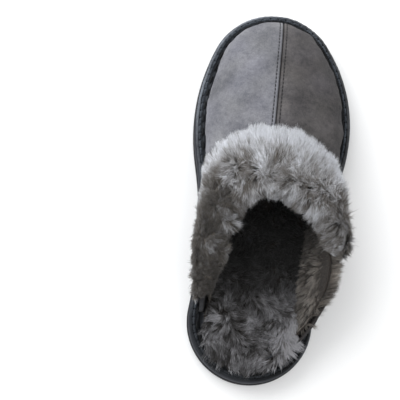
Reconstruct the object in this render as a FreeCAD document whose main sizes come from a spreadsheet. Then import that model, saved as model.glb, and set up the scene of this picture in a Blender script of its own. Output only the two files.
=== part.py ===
import FreeCAD, Part

import math
import os

import Sketcher

# Right-foot fleece-lined scuff slipper. Millimetres, +Y towards the toe, +X towards the little toe,
# +Z up, origin at the middle of the ground face of the box round the slipper.

Vector = FreeCAD.Vector
UP = Vector(0, 0, 1)
SEWING_GAP = 0.001
EDGE_TOLERANCE = 0.01
LEAST_CUT = 1
STATION_COUNT = 16
CURVE_POINTS = 8
STATION_MARGIN = 0.01
HALVINGS = 50
WALK_STEPS = 200
NORMAL_STEP = 0.004

# How the throat line is shaped: easing where it starts, and powers of its fall and run at the legs.
ARCH_EASE = 0.6
LEG_EASE = 0.45
LEG_FALL = 1.8
LEG_BEND = {-1: 2, 1: 3}

# How a profile swells between welt and throat: at the toe, and added at the side.
TALL_PROFILE = 38
SIDE_FULL = 0.8
UPRIGHT = 12
UPRIGHT_LEAST = 0.5
SWELL_TOE, SWELL_SIDE = 5.5, 4.5
LEAN_SIDE = 9
DROP_TOE, DROP_SIDE = 16, 11
RISE_TOE, RISE_SIDE = 0.66, -0.24
SHOULDER = 0.72

# How the cuff's section changes over its length, and how far its nose hangs into the throat.
CUFF_SIDE_FULL = 0.6
CUFF_END_WIDTH = 0.3
CUFF_EDGE_PILE = 0.45
CUFF_FOOT_DEPTH = 0.55
CUFF_FOOT_REACH = 3
NOSE_FOOT = 0.6
NOSE_TOP = 0.8
CUFF_FULL_POWER = 5
THROAT_PROBE = 0.98

# Small clearances that keep separate solids apart.
SEAM_GAP = 0.0006
LINING_SEAM_GAP = 0.001
LINING_LAST = 0.875
TAPE_LAST = 0.6875
STITCH_LAST = 0.74
SEAM_STITCH_START = 0.2
SEAM_STITCH_END = 0.93
TAPE_TOP = 0.9
TAPE_SECTIONS = 9
TAPE_FOOT_LIFT = 1
TOPLINE_TAPE_TOP = 0.985
TOPLINE_TAPE_GAPS = 1.5
LINING_GAPS = 3

SIZES = {
    # Sole outline: six arcs, each tangent to the next.
    "sole_length": 270,
    "toe_radius": 47,
    "toe_shift": 2.5,
    "heel_radius": 44,
    "heel_shift": -3,
    "ball_lateral": 61.5,
    "ball_lateral_y": 50,
    "ball_medial": 52.5,
    "ball_medial_y": 50,
    "waist_lateral_radius": 420,
    "waist_medial_radius": 300,
    # Where the slipper stands in its frame.
    "frame_shift_x": -6.8,
    # Heights of the layers under the foot.
    "outsole_thickness": 8,
    "midsole_thickness": 9,
    "welt_thickness": 4,
    "board_thickness": 2,
    "foam_thickness": 5,
    "fleece_thickness": 6,
    # How far the edge of each layer stays inside the outline.
    "midsole_inset": 0.8,
    "welt_inset": 2,
    "welt_inner_edge": 8.0,
    "upper_inset": 10,
    "board_inset": 11.9,
    "foam_inset": 14.8,
    "fleece_inset": 13,
    "fleece_wrap": 1.6,
    "fleece_round": 4,
    "edge_round": 1.2,
    # Tread.
    "tread_depth": 1.6,
    "tread_width": 2.4,
    "tread_pitch": 7.5,
    "tread_forefoot_span": 78,
    "tread_heel_span": 54,
    "tread_forefoot_y": 100,
    "tread_heel_y": -62,
    "tread_forefoot_count": 12,
    "tread_heel_count": 8,
    # Upper: throat line and how the vamp swells between welt and throat.
    "seam_toe_x": 7,
    "throat_x": 2,
    "throat_y": -8,
    "throat_height": 70,
    "throat_lateral": 52,
    "throat_medial": 35,
    "side_y": -50,
    "side_height": 55,
    "end_lateral_y": -112,
    "end_medial_y": -88,
    "end_height": 26,
    "leather_thickness": 1.4,
    "tape_thickness": 0.5,
    "tape_width": 12,
    "topline_tape_width": 7,
    "lining_thickness": 6,
    "layer_gap": 0.3,
    # Cuff.
    "cuff_width": 47,
    "cuff_lateral_width": 34,
    "cuff_medial_width": 36,
    "cuff_end_lateral_y": -58,
    "cuff_end_medial_y": -70,
    "cuff_pile": 13,
    "cuff_lateral_pile": 20,
    "cuff_medial_pile": 13,
    "cuff_end_pile": 5,
    "cuff_gap": 0.9,
    # Threads.
    "seam_stitch_pitch": 3,
    "seam_stitch_length": 2.2,
    "seam_stitch_radius": 0.28,
    "seam_stitch_offset": 2.5,
    "seam_stitch_lift": 0.2,
    "welt_inner_inset": 7.0,
    "welt_inner_pitch": 9.8,
    "welt_inner_length": 5.4,
    "welt_outer_inset": 4.8,
    "welt_outer_pitch": 5.5,
    "welt_outer_length": 4.1,
    "welt_inner_radius": 0.6,
    "welt_outer_radius": 0.75,
    "welt_thread_clearance": 0.15,
    "channel_half_width": 0.9,
    "topline_stitch_pitch": 5,
    "topline_stitch_length": 3,
    "topline_stitch_radius": 0.3,
    "topline_stitch_lift": 0.15,
}


def make_sheet(doc):
    """Write every driving dimension to a spreadsheet cell with an alias."""
    sheet = doc.addObject("Spreadsheet::Sheet", "Sizes")
    for row, (alias, value) in enumerate(SIZES.items(), start=1):
        sheet.set("A%d" % row, alias)
        sheet.set("B%d" % row, str(value))
        sheet.setAlias("B%d" % row, alias)
    doc.recompute()
    return sheet


def check_object(item):
    """Stop if FreeCAD left an object failed."""
    for flag in ("Invalid", "Error"):
        if flag in item.State:
            raise RuntimeError("%s is %s" % (item.Label, flag))


# ---------------------------------------------------------------- sole outline

def tangent_centre(first, first_radius, second, second_radius, radius, side):
    """Centre of a concave arc that touches two circles from outside, on the given side in X."""
    reach_first = first_radius + radius
    reach_second = second_radius + radius
    span = second - first
    along = (span.Length ** 2 + reach_first ** 2 - reach_second ** 2) / (2 * span.Length)
    across = math.sqrt(reach_first ** 2 - along ** 2)
    direction = span / span.Length
    normal = Vector(-direction.y, direction.x, 0)
    if normal.x * side < 0:
        normal = -normal
    return first + direction * along + normal * across


def ball_radius(reach, ball_y, toe_y, toe_radius):
    """Radius of the arc that swells to `reach` from the toe's centre line and runs into the toe arc."""
    return (reach ** 2 + (toe_y - ball_y) ** 2 - toe_radius ** 2) / (2 * (reach - toe_radius))


def outline_circles(size):
    """Centre, radius and convexity of the six arcs, anticlockwise from the lateral ball."""
    half = size.sole_length / 2
    toe = Vector(size.toe_shift, half - size.toe_radius, 0)
    heel = Vector(size.heel_shift, size.heel_radius - half, 0)
    lateral_radius = ball_radius(
        size.ball_lateral - toe.x, size.ball_lateral_y, toe.y, size.toe_radius)
    medial_radius = ball_radius(
        size.ball_medial + toe.x, size.ball_medial_y, toe.y, size.toe_radius)
    lateral = Vector(size.ball_lateral - lateral_radius, size.ball_lateral_y, 0)
    medial = Vector(medial_radius - size.ball_medial, size.ball_medial_y, 0)
    medial_waist = tangent_centre(
        medial, medial_radius, heel, size.heel_radius, size.waist_medial_radius, -1)
    lateral_waist = tangent_centre(
        lateral, lateral_radius, heel, size.heel_radius, size.waist_lateral_radius, 1)
    return [
        (lateral, lateral_radius, True),
        (toe, size.toe_radius, True),
        (medial, medial_radius, True),
        (medial_waist, size.waist_medial_radius, False),
        (heel, size.heel_radius, True),
        (lateral_waist, size.waist_lateral_radius, False),
    ]


def joint_point(first, second):
    """Point where two neighbouring arcs of the outline touch."""
    first_centre, first_radius, first_convex = first
    second_centre, second_radius, second_convex = second
    if first_convex and second_convex:
        inner, outer = (first, second) if first_radius < second_radius else (second, first)
        direction = inner[0] - outer[0]
        return inner[0] + direction * (inner[1] / direction.Length)
    direction = second_centre - first_centre
    return first_centre + direction * (first_radius / direction.Length)


def outline_arcs(size, inset):
    """The outline's arcs moved inwards: (centre, radius, start angle, sweep), sweep signed."""
    circles = outline_circles(size)
    arcs = []
    for index, circle in enumerate(circles):
        centre, radius, convex = circle
        start = joint_point(circles[index - 1], circle) - centre
        end = joint_point(circle, circles[(index + 1) % len(circles)]) - centre
        start_angle = math.atan2(start.y, start.x)
        end_angle = math.atan2(end.y, end.x)
        if convex:
            sweep = (end_angle - start_angle) % (2 * math.pi)
            arcs.append((centre, radius - inset, start_angle, sweep))
        else:
            sweep = -((start_angle - end_angle) % (2 * math.pi))
            arcs.append((centre, radius + inset, start_angle, sweep))
    return arcs


class Outline:
    """The outline at one inset, walked by arc length anticlockwise."""

    def __init__(self, size, inset):
        self.arcs = outline_arcs(size, inset)
        self.lengths = [abs(radius * sweep) for _, radius, _, sweep in self.arcs]
        self.total = sum(self.lengths)

    def at(self, distance):
        """Point and outward direction at a distance along the outline."""
        left = distance % self.total
        for (centre, radius, start_angle, sweep), length in zip(self.arcs, self.lengths):
            if left <= length:
                break
            left -= length
        angle = start_angle + sweep * left / length
        ray = Vector(math.cos(angle), math.sin(angle), 0)
        outward = ray if sweep > 0 else -ray
        return centre + ray * radius, outward

    def toe_distance(self, x):
        """Distance at which the toe arc crosses a given X."""
        centre, radius, start_angle, _ = self.arcs[1]
        angle = math.acos((x - centre.x) / radius)
        return self.lengths[0] + (angle - start_angle) * radius

    def side_distance(self, start, direction, y):
        """Distance from `start`, walking in `direction`, at which the side reaches a given Y."""
        low = 0.0
        high = self.total / 2
        for _ in range(HALVINGS):
            middle = (low + high) / 2
            if self.at(start + direction * middle)[0].y > y:
                low = middle
            else:
                high = middle
        return low


# ---------------------------------------------------------------- Part Design bodies

def origin_plane(body, role):
    """The body's own origin plane with the given role."""
    for feature in body.Origin.OriginFeatures:
        if feature.Role == role:
            return feature
    raise RuntimeError("no plane " + role)


def new_body(doc, label):
    body = doc.addObject("PartDesign::Body", label)
    body.Label = label
    body.setExpression("Placement.Base.x", "Sizes.frame_shift_x")
    return body


def new_sketch(body, name, height):
    """A sketch on the body's XY plane, raised to a height given as an expression."""
    sketch = body.newObject("Sketcher::SketchObject", name)
    sketch.AttachmentSupport = [(origin_plane(body, "XY_Plane"), "")]
    sketch.MapMode = "FlatFace"
    sketch.setExpression("AttachmentOffset.Base.z", height)
    return sketch


def bind(sketch, constraint, expression):
    """Add a constraint and bind its value to the spreadsheet."""
    index = sketch.addConstraint(constraint)
    sketch.setExpression("Constraints[%d]" % index, expression)


def ball_radius_expression(reach, ball_y):
    toe_y = "(Sizes.sole_length / 2 - Sizes.toe_radius)"
    top = "(%s ^ 2 + (%s - %s) ^ 2 - Sizes.toe_radius ^ 2)" % (reach, toe_y, ball_y)
    return "%s / (2 * (%s - Sizes.toe_radius))" % (top, reach)


def add_outline(sketch, size, inset, inset_expression):
    """Draw the sole outline, moved inwards, as tangent arcs bound to the spreadsheet."""
    first = sketch.GeometryCount
    arcs = outline_arcs(size, inset)
    for centre, radius, start_angle, sweep in arcs:
        low = min(start_angle, start_angle + sweep)
        circle = Part.Circle(centre, UP, radius)
        sketch.addGeometry(Part.ArcOfCircle(circle, low, low + abs(sweep)), False)
    for index, arc in enumerate(arcs):
        following = arcs[(index + 1) % len(arcs)]
        leaving = 2 if arc[3] > 0 else 1
        entering = 1 if following[3] > 0 else 2
        sketch.addConstraint(Sketcher.Constraint(
            "Tangent", first + index, leaving, first + (index + 1) % len(arcs), entering))
    lateral_radius = ball_radius_expression(
        "(Sizes.ball_lateral - Sizes.toe_shift)", "Sizes.ball_lateral_y")
    medial_radius = ball_radius_expression(
        "(Sizes.ball_medial + Sizes.toe_shift)", "Sizes.ball_medial_y")
    centres = {
        0: ("Sizes.ball_lateral - %s" % lateral_radius, "Sizes.ball_lateral_y"),
        1: ("Sizes.toe_shift", "Sizes.sole_length / 2 - Sizes.toe_radius"),
        2: ("%s - Sizes.ball_medial" % medial_radius, "Sizes.ball_medial_y"),
        4: ("Sizes.heel_shift", "Sizes.heel_radius - Sizes.sole_length / 2"),
    }
    for index, (x, y) in centres.items():
        centre = arcs[index][0]
        bind(sketch, Sketcher.Constraint("DistanceX", -1, 1, first + index, 3, centre.x), x)
        bind(sketch, Sketcher.Constraint("DistanceY", -1, 1, first + index, 3, centre.y), y)
    radii = {
        1: "Sizes.toe_radius - %s" % inset_expression,
        3: "Sizes.waist_medial_radius + %s" % inset_expression,
        4: "Sizes.heel_radius - %s" % inset_expression,
        5: "Sizes.waist_lateral_radius + %s" % inset_expression,
    }
    for index, expression in radii.items():
        bind(sketch, Sketcher.Constraint("Radius", first + index, arcs[index][1]), expression)


def pad_outline(doc, body, size, inset, inset_expression, base, thickness):
    """Pad the outline, moved inwards, from a base height."""
    sketch = new_sketch(body, body.Label + "_outline", base)
    add_outline(sketch, size, inset, inset_expression)
    pad = body.newObject("PartDesign::Pad", body.Label + "_pad")
    pad.Profile = sketch
    pad.setExpression("Length", thickness)
    doc.recompute()
    return pad


def edges_at(shape, height):
    """Names of the edges that lie flat at a height."""
    names = []
    for index, edge in enumerate(shape.Edges, start=1):
        box = edge.BoundBox
        if max(abs(box.ZMin - height), abs(box.ZMax - height)) < EDGE_TOLERANCE:
            names.append("Edge%d" % index)
    return names


def fillet_rim(doc, body, feature, height, radius_expression):
    """Round the edges of a feature that lie at a height."""
    fillet = body.newObject("PartDesign::Fillet", body.Label + "_round")
    fillet.Base = (feature, edges_at(feature.Shape, height))
    fillet.setExpression("Radius", radius_expression)
    doc.recompute()
    return fillet


def cut_checked(doc, body, pocket, name):
    """Recompute a pocket and stop if it removed nothing."""
    before = body.Shape.Volume
    doc.recompute()
    if pocket.Shape.Volume > before - LEAST_CUT:
        raise RuntimeError("%s cut nothing" % name)


def add_rectangle(sketch, y_expression, y, span_expression, span, width_expression, width):
    """A rectangle across the sole, centred on X = 0, whose middle lies at y."""
    corners = [
        Vector(-span / 2, y - width / 2, 0),
        Vector(span / 2, y - width / 2, 0),
        Vector(span / 2, y + width / 2, 0),
        Vector(-span / 2, y + width / 2, 0),
    ]
    for index in range(4):
        sketch.addGeometry(Part.LineSegment(corners[index], corners[(index + 1) % 4]), False)
    for index in range(4):
        sketch.addConstraint(Sketcher.Constraint("Coincident", index, 2, (index + 1) % 4, 1))
    sketch.addConstraint(Sketcher.Constraint("Horizontal", 0))
    sketch.addConstraint(Sketcher.Constraint("Horizontal", 2))
    sketch.addConstraint(Sketcher.Constraint("Vertical", 1))
    sketch.addConstraint(Sketcher.Constraint("Vertical", 3))
    bind(sketch, Sketcher.Constraint("DistanceX", 0, 1, -1, 1, span / 2), span_expression + " / 2")
    bind(sketch, Sketcher.Constraint("DistanceX", 0, 1, 0, 2, span), span_expression)
    bind(sketch, Sketcher.Constraint("DistanceY", 1, 1, 1, 2, width), width_expression)
    bind(sketch, Sketcher.Constraint("DistanceY", -1, 1, 0, 1, y - width / 2), y_expression)


def add_tread(doc, body, size, name):
    """A row of blind cross grooves in the ground face, the first at the row's own Y."""
    first = getattr(size, name + "_y") + size.tread_width / 2
    count = getattr(size, name + "_count")
    sketch = new_sketch(body, name + "_sketch", "0")
    add_rectangle(sketch, "Sizes.%s_y" % name, first, "Sizes.%s_span" % name,
                  getattr(size, name + "_span"), "Sizes.tread_width", size.tread_width)
    doc.recompute()
    pocket = body.newObject("PartDesign::Pocket", name)
    pocket.Profile = sketch
    pocket.Reversed = True
    pocket.setExpression("Length", "Sizes.tread_depth")
    cut_checked(doc, body, pocket, name)
    pattern = body.newObject("PartDesign::LinearPattern", name + "_row")
    pattern.Originals = [pocket]
    pattern.Direction = (sketch, ["V_Axis"])
    pattern.Reversed = True
    pattern.setExpression("Length", "Sizes.tread_pitch * (Sizes.%s_count - 1)" % name)
    pattern.Occurrences = int(count)
    body.Tip = pattern
    doc.recompute()


def make_outsole(doc, size):
    """Moulded rubber sole with cross grooves under the ball and the heel."""
    body = new_body(doc, "outsole")
    pad = pad_outline(doc, body, size, 0, "0", "0", "Sizes.outsole_thickness")
    fillet_rim(doc, body, pad, 0, "Sizes.edge_round")
    add_tread(doc, body, size, "tread_forefoot")
    add_tread(doc, body, size, "tread_heel")
    return body


def make_midsole(doc, size):
    """Foam layer between outsole and upper, set in a little so that a line shows round the edge."""
    body = new_body(doc, "midsole")
    pad = pad_outline(doc, body, size, size.midsole_inset, "Sizes.midsole_inset",
                      "Sizes.outsole_thickness", "Sizes.midsole_thickness")
    fillet_rim(doc, body, pad, size.outsole_thickness + size.midsole_thickness, "Sizes.edge_round")
    return body


def cut_ring(doc, body, size, name, insets, expressions, base, depth):
    """Cut a channel that follows the outline between two insets, from a height downwards."""
    sketch = new_sketch(body, name + "_sketch", base)
    for inset, expression in zip(insets, expressions):
        add_outline(sketch, size, inset, expression)
    doc.recompute()
    pocket = body.newObject("PartDesign::Pocket", name)
    pocket.Profile = sketch
    pocket.setExpression("Length", depth)
    cut_checked(doc, body, pocket, name)


def make_welt(doc, size):
    """Suede strip round the sole edge, with a sewing channel for the thick thread."""
    body = new_body(doc, "welt")
    base = "Sizes.outsole_thickness + Sizes.midsole_thickness"
    sketch = new_sketch(body, "welt_outline", base)
    add_outline(sketch, size, size.welt_inset, "Sizes.welt_inset")
    add_outline(sketch, size, size.welt_inner_edge, "Sizes.welt_inner_edge")
    pad = body.newObject("PartDesign::Pad", "welt_pad")
    pad.Profile = sketch
    pad.setExpression("Length", "Sizes.welt_thickness")
    doc.recompute()
    top = size.outsole_thickness + size.midsole_thickness + size.welt_thickness
    fillet_rim(doc, body, pad, top, "Sizes.edge_round / 2")
    top_expression = base + " + Sizes.welt_thickness"
    side_room = size.channel_half_width
    cut_ring(doc, body, size, "welt_outer_channel",
             (size.welt_outer_inset - side_room, size.welt_outer_inset + side_room),
             ("(Sizes.welt_outer_inset - Sizes.channel_half_width)",
              "(Sizes.welt_outer_inset + Sizes.channel_half_width)"),
             top_expression, "Sizes.channel_half_width")
    cut_ring(doc, body, size, "welt_inner_rabbet",
             (size.welt_inner_inset - side_room, size.upper_inset),
             ("(Sizes.welt_inner_inset - Sizes.channel_half_width)",
              "Sizes.upper_inset"),
             top_expression, "Sizes.channel_half_width")
    return body


def make_layer(doc, size, label, inset_name, base, thickness_name):
    """One flat layer inside the upper."""
    body = new_body(doc, label)
    pad_outline(doc, body, size, getattr(size, inset_name), "Sizes." + inset_name,
                base, "Sizes." + thickness_name)
    return body


def make_footbed_fleece(doc, size):
    """Fleece sock that caps the foam and wraps its edge down to the board."""
    body = new_body(doc, "footbed_fleece")
    board_top = size.outsole_thickness + size.midsole_thickness + size.board_thickness
    base = "Sizes.outsole_thickness + Sizes.midsole_thickness + Sizes.board_thickness"
    pad = pad_outline(doc, body, size, size.fleece_inset, "Sizes.fleece_inset",
                      base, "Sizes.foam_thickness + Sizes.fleece_thickness")
    fillet_rim(doc, body, pad, board_top + size.foam_thickness + size.fleece_thickness,
               "Sizes.fleece_round")
    sketch = new_sketch(body, "foam_pocket_sketch", base)
    add_outline(sketch, size, size.fleece_inset + size.fleece_wrap,
                "(Sizes.fleece_inset + Sizes.fleece_wrap)")
    doc.recompute()
    pocket = body.newObject("PartDesign::Pocket", "foam_pocket")
    pocket.Profile = sketch
    pocket.Reversed = True
    pocket.setExpression("Length", "Sizes.foam_thickness")
    cut_checked(doc, body, pocket, "foam_pocket")
    return body


# ---------------------------------------------------------------- upper surface

class Upper:
    """The outer suede surface.

    across runs from -1 at the medial end over 0 at the seam to 1 at the lateral end,
    and rise from 0 at the welt to 1 at the throat.
    """

    def __init__(self, size):
        self.size = size
        self.base = size.outsole_thickness + size.midsole_thickness
        self.footbed_top = (self.base + size.board_thickness + size.foam_thickness
                            + size.fleece_thickness)
        self.outline = Outline(size, size.upper_inset)
        self.seam = self.outline.toe_distance(size.seam_toe_x)
        self.edge = {-1: -size.throat_medial, 1: size.throat_lateral}
        self.end_y = {-1: size.end_medial_y, 1: size.end_lateral_y}
        self.reach = {
            side: self.outline.side_distance(self.seam, -side, self.end_y[side])
            for side in (-1, 1)
        }
        side_run = {
            side: self.outline.side_distance(self.seam, -side, size.side_y)
            for side in (-1, 1)
        }
        self.side_share = {side: side_run[side] / self.reach[side] for side in (-1, 1)}

    def welt_point(self, across):
        side = 1 if across >= 0 else -1
        point, outward = self.outline.at(self.seam - side * abs(across) * self.reach[side])
        return Vector(point.x, point.y, self.base), outward

    def throat_point(self, across):
        size = self.size
        side = 1 if across >= 0 else -1
        share = abs(across) / self.side_share[side]
        if share <= 1:
            eased = share + ARCH_EASE * (share ** 2 - share)
            angle = eased * math.pi / 2
            x = size.throat_x + (self.edge[side] - size.throat_x) * math.sin(angle)
            y = size.side_y + (size.throat_y - size.side_y) * math.cos(angle)
            drop = math.sin(angle) ** 2
            z = size.throat_height + (size.side_height - size.throat_height) * drop
            return Vector(x, y, z)
        run = (abs(across) - self.side_share[side]) / (1 - self.side_share[side])
        eased = run + LEG_EASE * (run ** 2 - run)
        y = size.side_y + (self.end_y[side] - size.side_y) * eased
        end = self.welt_point(side)[0]
        x = self.edge[side] + (end.x - self.edge[side]) * run ** LEG_BEND[side]
        z = size.side_height + (size.end_height - size.side_height) * run ** LEG_FALL
        return Vector(x, y, z)

    def poles(self, across):
        """The five poles of the profile: upright at the welt, swelling out, then over to the throat."""
        welt, outward = self.welt_point(across)
        throat = self.throat_point(across)
        height = throat.z - self.base
        flat = Vector(welt.x - throat.x, welt.y - throat.y, 0)
        side = min(1.0, abs(across) / SIDE_FULL) ** 2
        stature = min(1.0, height / TALL_PROFILE)
        swell = (SWELL_TOE + SWELL_SIDE * side) * stature
        lean = LEAN_SIDE * side * stature
        drop = DROP_TOE * (1 - side) + DROP_SIDE * side * stature
        rise = RISE_TOE + RISE_SIDE * side
        upright = welt + UP * (UPRIGHT * max(stature, UPRIGHT_LEAST))
        lower = welt + outward * swell + UP * (height * rise)
        upper = throat + flat * SHOULDER + outward * lean - UP * drop
        return [welt, upright, lower, upper, throat]

    def point(self, across, rise):
        """Bezier point of the profile."""
        poles = self.poles(across)
        last = len(poles) - 1
        total = Vector(0, 0, 0)
        for index, pole in enumerate(poles):
            weight = math.comb(last, index) * rise ** index * (1 - rise) ** (last - index)
            total = total + pole * weight
        return total

    def normal(self, across, rise):
        """Outward normal of the suede surface."""
        low = max(0.0, rise - NORMAL_STEP)
        high = min(1.0, rise + NORMAL_STEP)
        along = self.point(across, high) - self.point(across, low)
        left = max(-1.0, across - NORMAL_STEP)
        right = min(1.0, across + NORMAL_STEP)
        sideways = self.point(right, rise) - self.point(left, rise)
        normal = along.cross(sideways)
        if normal.dot(self.welt_point(across)[1] + UP) < 0:
            normal = -normal
        return normal / normal.Length

    def rise_at_height(self, across, height):
        """Lowest rise at which the profile reaches a height."""
        low = 0.0
        high = 1.0
        for _ in range(HALVINGS):
            middle = (low + high) / 2
            if self.point(across, middle).z < height:
                low = middle
            else:
                high = middle
        return high

    def rise_before_throat(self, across, distance):
        """Rise at a distance from the throat, measured over the surface."""
        walked = 0.0
        last = self.point(across, 1)
        for index in range(WALK_STEPS - 1, -1, -1):
            here = self.point(across, index / WALK_STEPS)
            walked += (here - last).Length
            last = here
            if walked >= distance:
                return index / WALK_STEPS
        return 0.0

    def across_at(self, side, y):
        """Place along one side at which the throat line reaches a given Y."""
        low = 0.0
        high = 1.0
        for _ in range(HALVINGS):
            middle = (low + high) / 2
            if self.throat_point(side * middle).y > y:
                low = middle
            else:
                high = middle
        return high

    def spread(self, rise):
        """Millimetres over the surface for one unit across, at the seam."""
        run = self.point(NORMAL_STEP, rise) - self.point(-NORMAL_STEP, rise)
        return run.Length / (2 * NORMAL_STEP)

    def curve(self, across, low, high, offset, level_start):
        """Curve over part of the profile, moved outwards by offset (inwards if negative)."""
        shares = steps(0, 1, CURVE_POINTS)
        moved = []
        for share in shares:
            rise = low + (high - low) * share
            normal = self.normal(across, rise)
            if share == 0 and level_start:
                normal = Vector(normal.x, normal.y, 0)
                normal = normal / normal.Length
            distance = offset(share) if callable(offset) else offset
            moved.append(self.point(across, rise) + normal * distance)
        curve = Part.BSplineCurve()
        curve.interpolate(Points=moved, Parameters=shares)
        return curve


def line(start, end):
    return Part.LineSegment(start, end).toShape()


def steps(start, end, count):
    return [start + (end - start) * index / (count - 1) for index in range(count)]


def stations(start, last):
    """Section places from start to last, at the same shares on every layer of the upper."""
    inner = [index / STATION_COUNT for index in range(1, STATION_COUNT)]
    return [start] + [share for share in inner if start < share < last - STATION_MARGIN] + [last]


def end_face(wire):
    """Face that closes a section: flat where it can be, else ruled from curve to curve."""
    edges = wire.Edges
    if len(edges) == 4:
        return Part.makeRuledSurface(edges[0], edges[2])
    return Part.Face(wire)


def loft(wires, label):
    """Solid through closed wires, with a face at each end."""
    faces = Part.makeLoft(wires, False, False).Faces
    faces += [end_face(wires[0]), end_face(wires[-1])]
    shell = Part.makeShell(faces)
    shell.sewShape(SEWING_GAP)
    solid = Part.makeSolid(shell)
    if solid.Volume < 0:
        solid.reverse()
    if solid.isNull() or not solid.isValid() or not shell.isClosed():
        raise RuntimeError(label + " is not a valid solid")
    return solid


def layer_wire(upper, across, low, high, outer, inner, level_start):
    """Closed section of one layer of the upper between two depths."""
    outside = upper.curve(across, low, high, -outer, level_start)
    inside = upper.curve(across, low, high, -inner, level_start)
    return Part.Wire([
        outside.toShape(),
        line(outside.EndPoint, inside.EndPoint),
        inside.toShape().reversed(),
        line(inside.StartPoint, outside.StartPoint),
    ])


def add_feature(doc, label, shape):
    """A document object whose shape is set, placed in the slipper's frame."""
    feature = doc.addObject("Part::Feature", label)
    feature.Label = label
    feature.Shape = shape
    feature.setExpression("Placement.Base.x", "Sizes.frame_shift_x")
    return feature


def make_panel(doc, upper, side):
    """One suede half of the vamp, from the centre seam back to the end of the upper."""
    size = upper.size
    name = "vamp_panel_lateral" if side > 0 else "vamp_panel_medial"
    wires = [
        layer_wire(upper, side * across, 0, 1, 0, size.leather_thickness, True)
        for across in stations(SEAM_GAP, 1)
    ]
    return add_feature(doc, name, loft(wires, name))


def make_lining(doc, upper, side):
    """One fleece half of the lining, standing on the footbed fleece."""
    size = upper.size
    name = "lining_lateral" if side > 0 else "lining_medial"
    outer = size.leather_thickness + size.tape_thickness + LINING_GAPS * size.layer_gap
    inner = outer + size.lining_thickness
    floor = upper.footbed_top + size.layer_gap
    wires = []
    for across in stations(LINING_SEAM_GAP, LINING_LAST):
        low = upper.rise_at_height(side * across, floor)
        wires.append(layer_wire(upper, side * across, low, 1, outer, inner, True))
    return add_feature(doc, name, loft(wires, name))


def make_seam_tape(doc, upper):
    """Tape under the centre seam, from the toe to the topline tape."""
    size = upper.size
    outer = size.leather_thickness + size.layer_gap
    inner = outer + size.tape_thickness
    half = size.tape_width / 2
    wires = []
    low = upper.rise_at_height(0, upper.footbed_top + TAPE_FOOT_LIFT)
    for rise in steps(low, TAPE_TOP, TAPE_SECTIONS):
        edge = half / upper.spread(rise)
        outside = [
            upper.point(across, rise) - upper.normal(across, rise) * outer
            for across in (-edge, 0, edge)
        ]
        inside = [
            upper.point(across, rise) - upper.normal(across, rise) * inner
            for across in (-edge, 0, edge)
        ]
        wires.append(Part.Wire([
            Part.Arc(*outside).toShape(),
            line(outside[2], inside[2]),
            Part.Arc(*reversed(inside)).toShape(),
            line(inside[0], outside[0]),
        ]))
    return add_feature(doc, "centre_seam_tape", loft(wires, "centre_seam_tape"))


def make_topline_tape(doc, upper):
    """Narrow tape just inside the throat edge, along both sides and over the instep."""
    size = upper.size
    outer = size.leather_thickness + TOPLINE_TAPE_GAPS * size.layer_gap
    inner = outer + size.tape_thickness
    half = stations(0, TAPE_LAST)
    wires = []
    for across in [-share for share in reversed(half[1:])] + half:
        low = upper.rise_before_throat(across, size.topline_tape_width)
        wires.append(layer_wire(upper, across, low, TOPLINE_TAPE_TOP, outer, inner, False))
    return add_feature(doc, "topline_tape", loft(wires, "topline_tape"))


def flatten(curve, origin, normal):
    """Press a spline onto a plane by moving its poles."""
    for index, pole in enumerate(curve.getPoles(), start=1):
        curve.setPole(index, pole - normal * (pole - origin).dot(normal))


def cuff_wire(upper, across, last):
    """Closed section of the folded collar: down over the vamp, with a round nose at the throat."""
    size = upper.size
    share = abs(across) / last
    fullness = math.sqrt(max(0.0, 1 - share ** CUFF_FULL_POWER))
    aside = min(1, share / CUFF_SIDE_FULL) ** 2
    side_width = size.cuff_lateral_width if across > 0 else size.cuff_medial_width
    side_pile = size.cuff_lateral_pile if across > 0 else size.cuff_medial_pile
    width = size.cuff_width + (side_width - size.cuff_width) * aside
    width = width * (CUFF_END_WIDTH + (1 - CUFF_END_WIDTH) * fullness)
    full_pile = size.cuff_pile + (side_pile - size.cuff_pile) * aside
    pile = size.cuff_end_pile + (full_pile - size.cuff_end_pile) * fullness

    def pile_along(run):
        crown = math.sin(min(1, 2 * run) * math.pi / 2)
        return pile * (CUFF_EDGE_PILE + (1 - CUFF_EDGE_PILE) * crown)

    low = upper.rise_before_throat(across, width)
    under = upper.curve(across, low, 1, size.cuff_gap, False)
    over = upper.curve(across, low, 1, pile_along, False)
    throat = upper.point(across, 1)
    normal = upper.normal(across, 1)
    inward = throat - upper.point(across, THROAT_PROBE)
    inward = inward / inward.Length
    if share == 1:
        side = normal.cross(inward)
        for curve in (under, over):
            flatten(curve, throat, side / side.Length)
    depth = (size.leather_thickness + size.tape_thickness
             + CUFF_FOOT_DEPTH * size.lining_thickness)
    foot = throat + inward * CUFF_FOOT_REACH - normal * depth
    nose = Part.BezierCurve()
    nose.setPoles([
        foot,
        foot + inward * pile * NOSE_FOOT,
        over.EndPoint + inward * pile * NOSE_TOP,
        over.EndPoint,
    ])
    return Part.Wire([
        under.toShape(),
        line(under.EndPoint, foot),
        nose.toShape(),
        over.toShape().reversed(),
        line(over.StartPoint, under.StartPoint),
    ])


def make_cuff(doc, upper):
    """Fleece collar folded over the throat."""
    size = upper.size
    medial_last = upper.across_at(-1, size.cuff_end_medial_y)
    lateral_last = upper.across_at(1, size.cuff_end_lateral_y)
    medial = [
        cuff_wire(upper, -across, medial_last)
        for across in reversed(stations(0, medial_last)[1:])
    ]
    lateral = [cuff_wire(upper, across, lateral_last) for across in stations(0, lateral_last)]
    wires = medial + lateral
    return add_feature(doc, "cuff_fleece", loft(wires, "cuff_fleece"))


# ---------------------------------------------------------------- threads

def thread(middle, direction, length, radius):
    """One stitch: a straight length of thread."""
    unit = direction / direction.Length
    return Part.makeCylinder(radius, length, middle - unit * (length / 2), unit)


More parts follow.
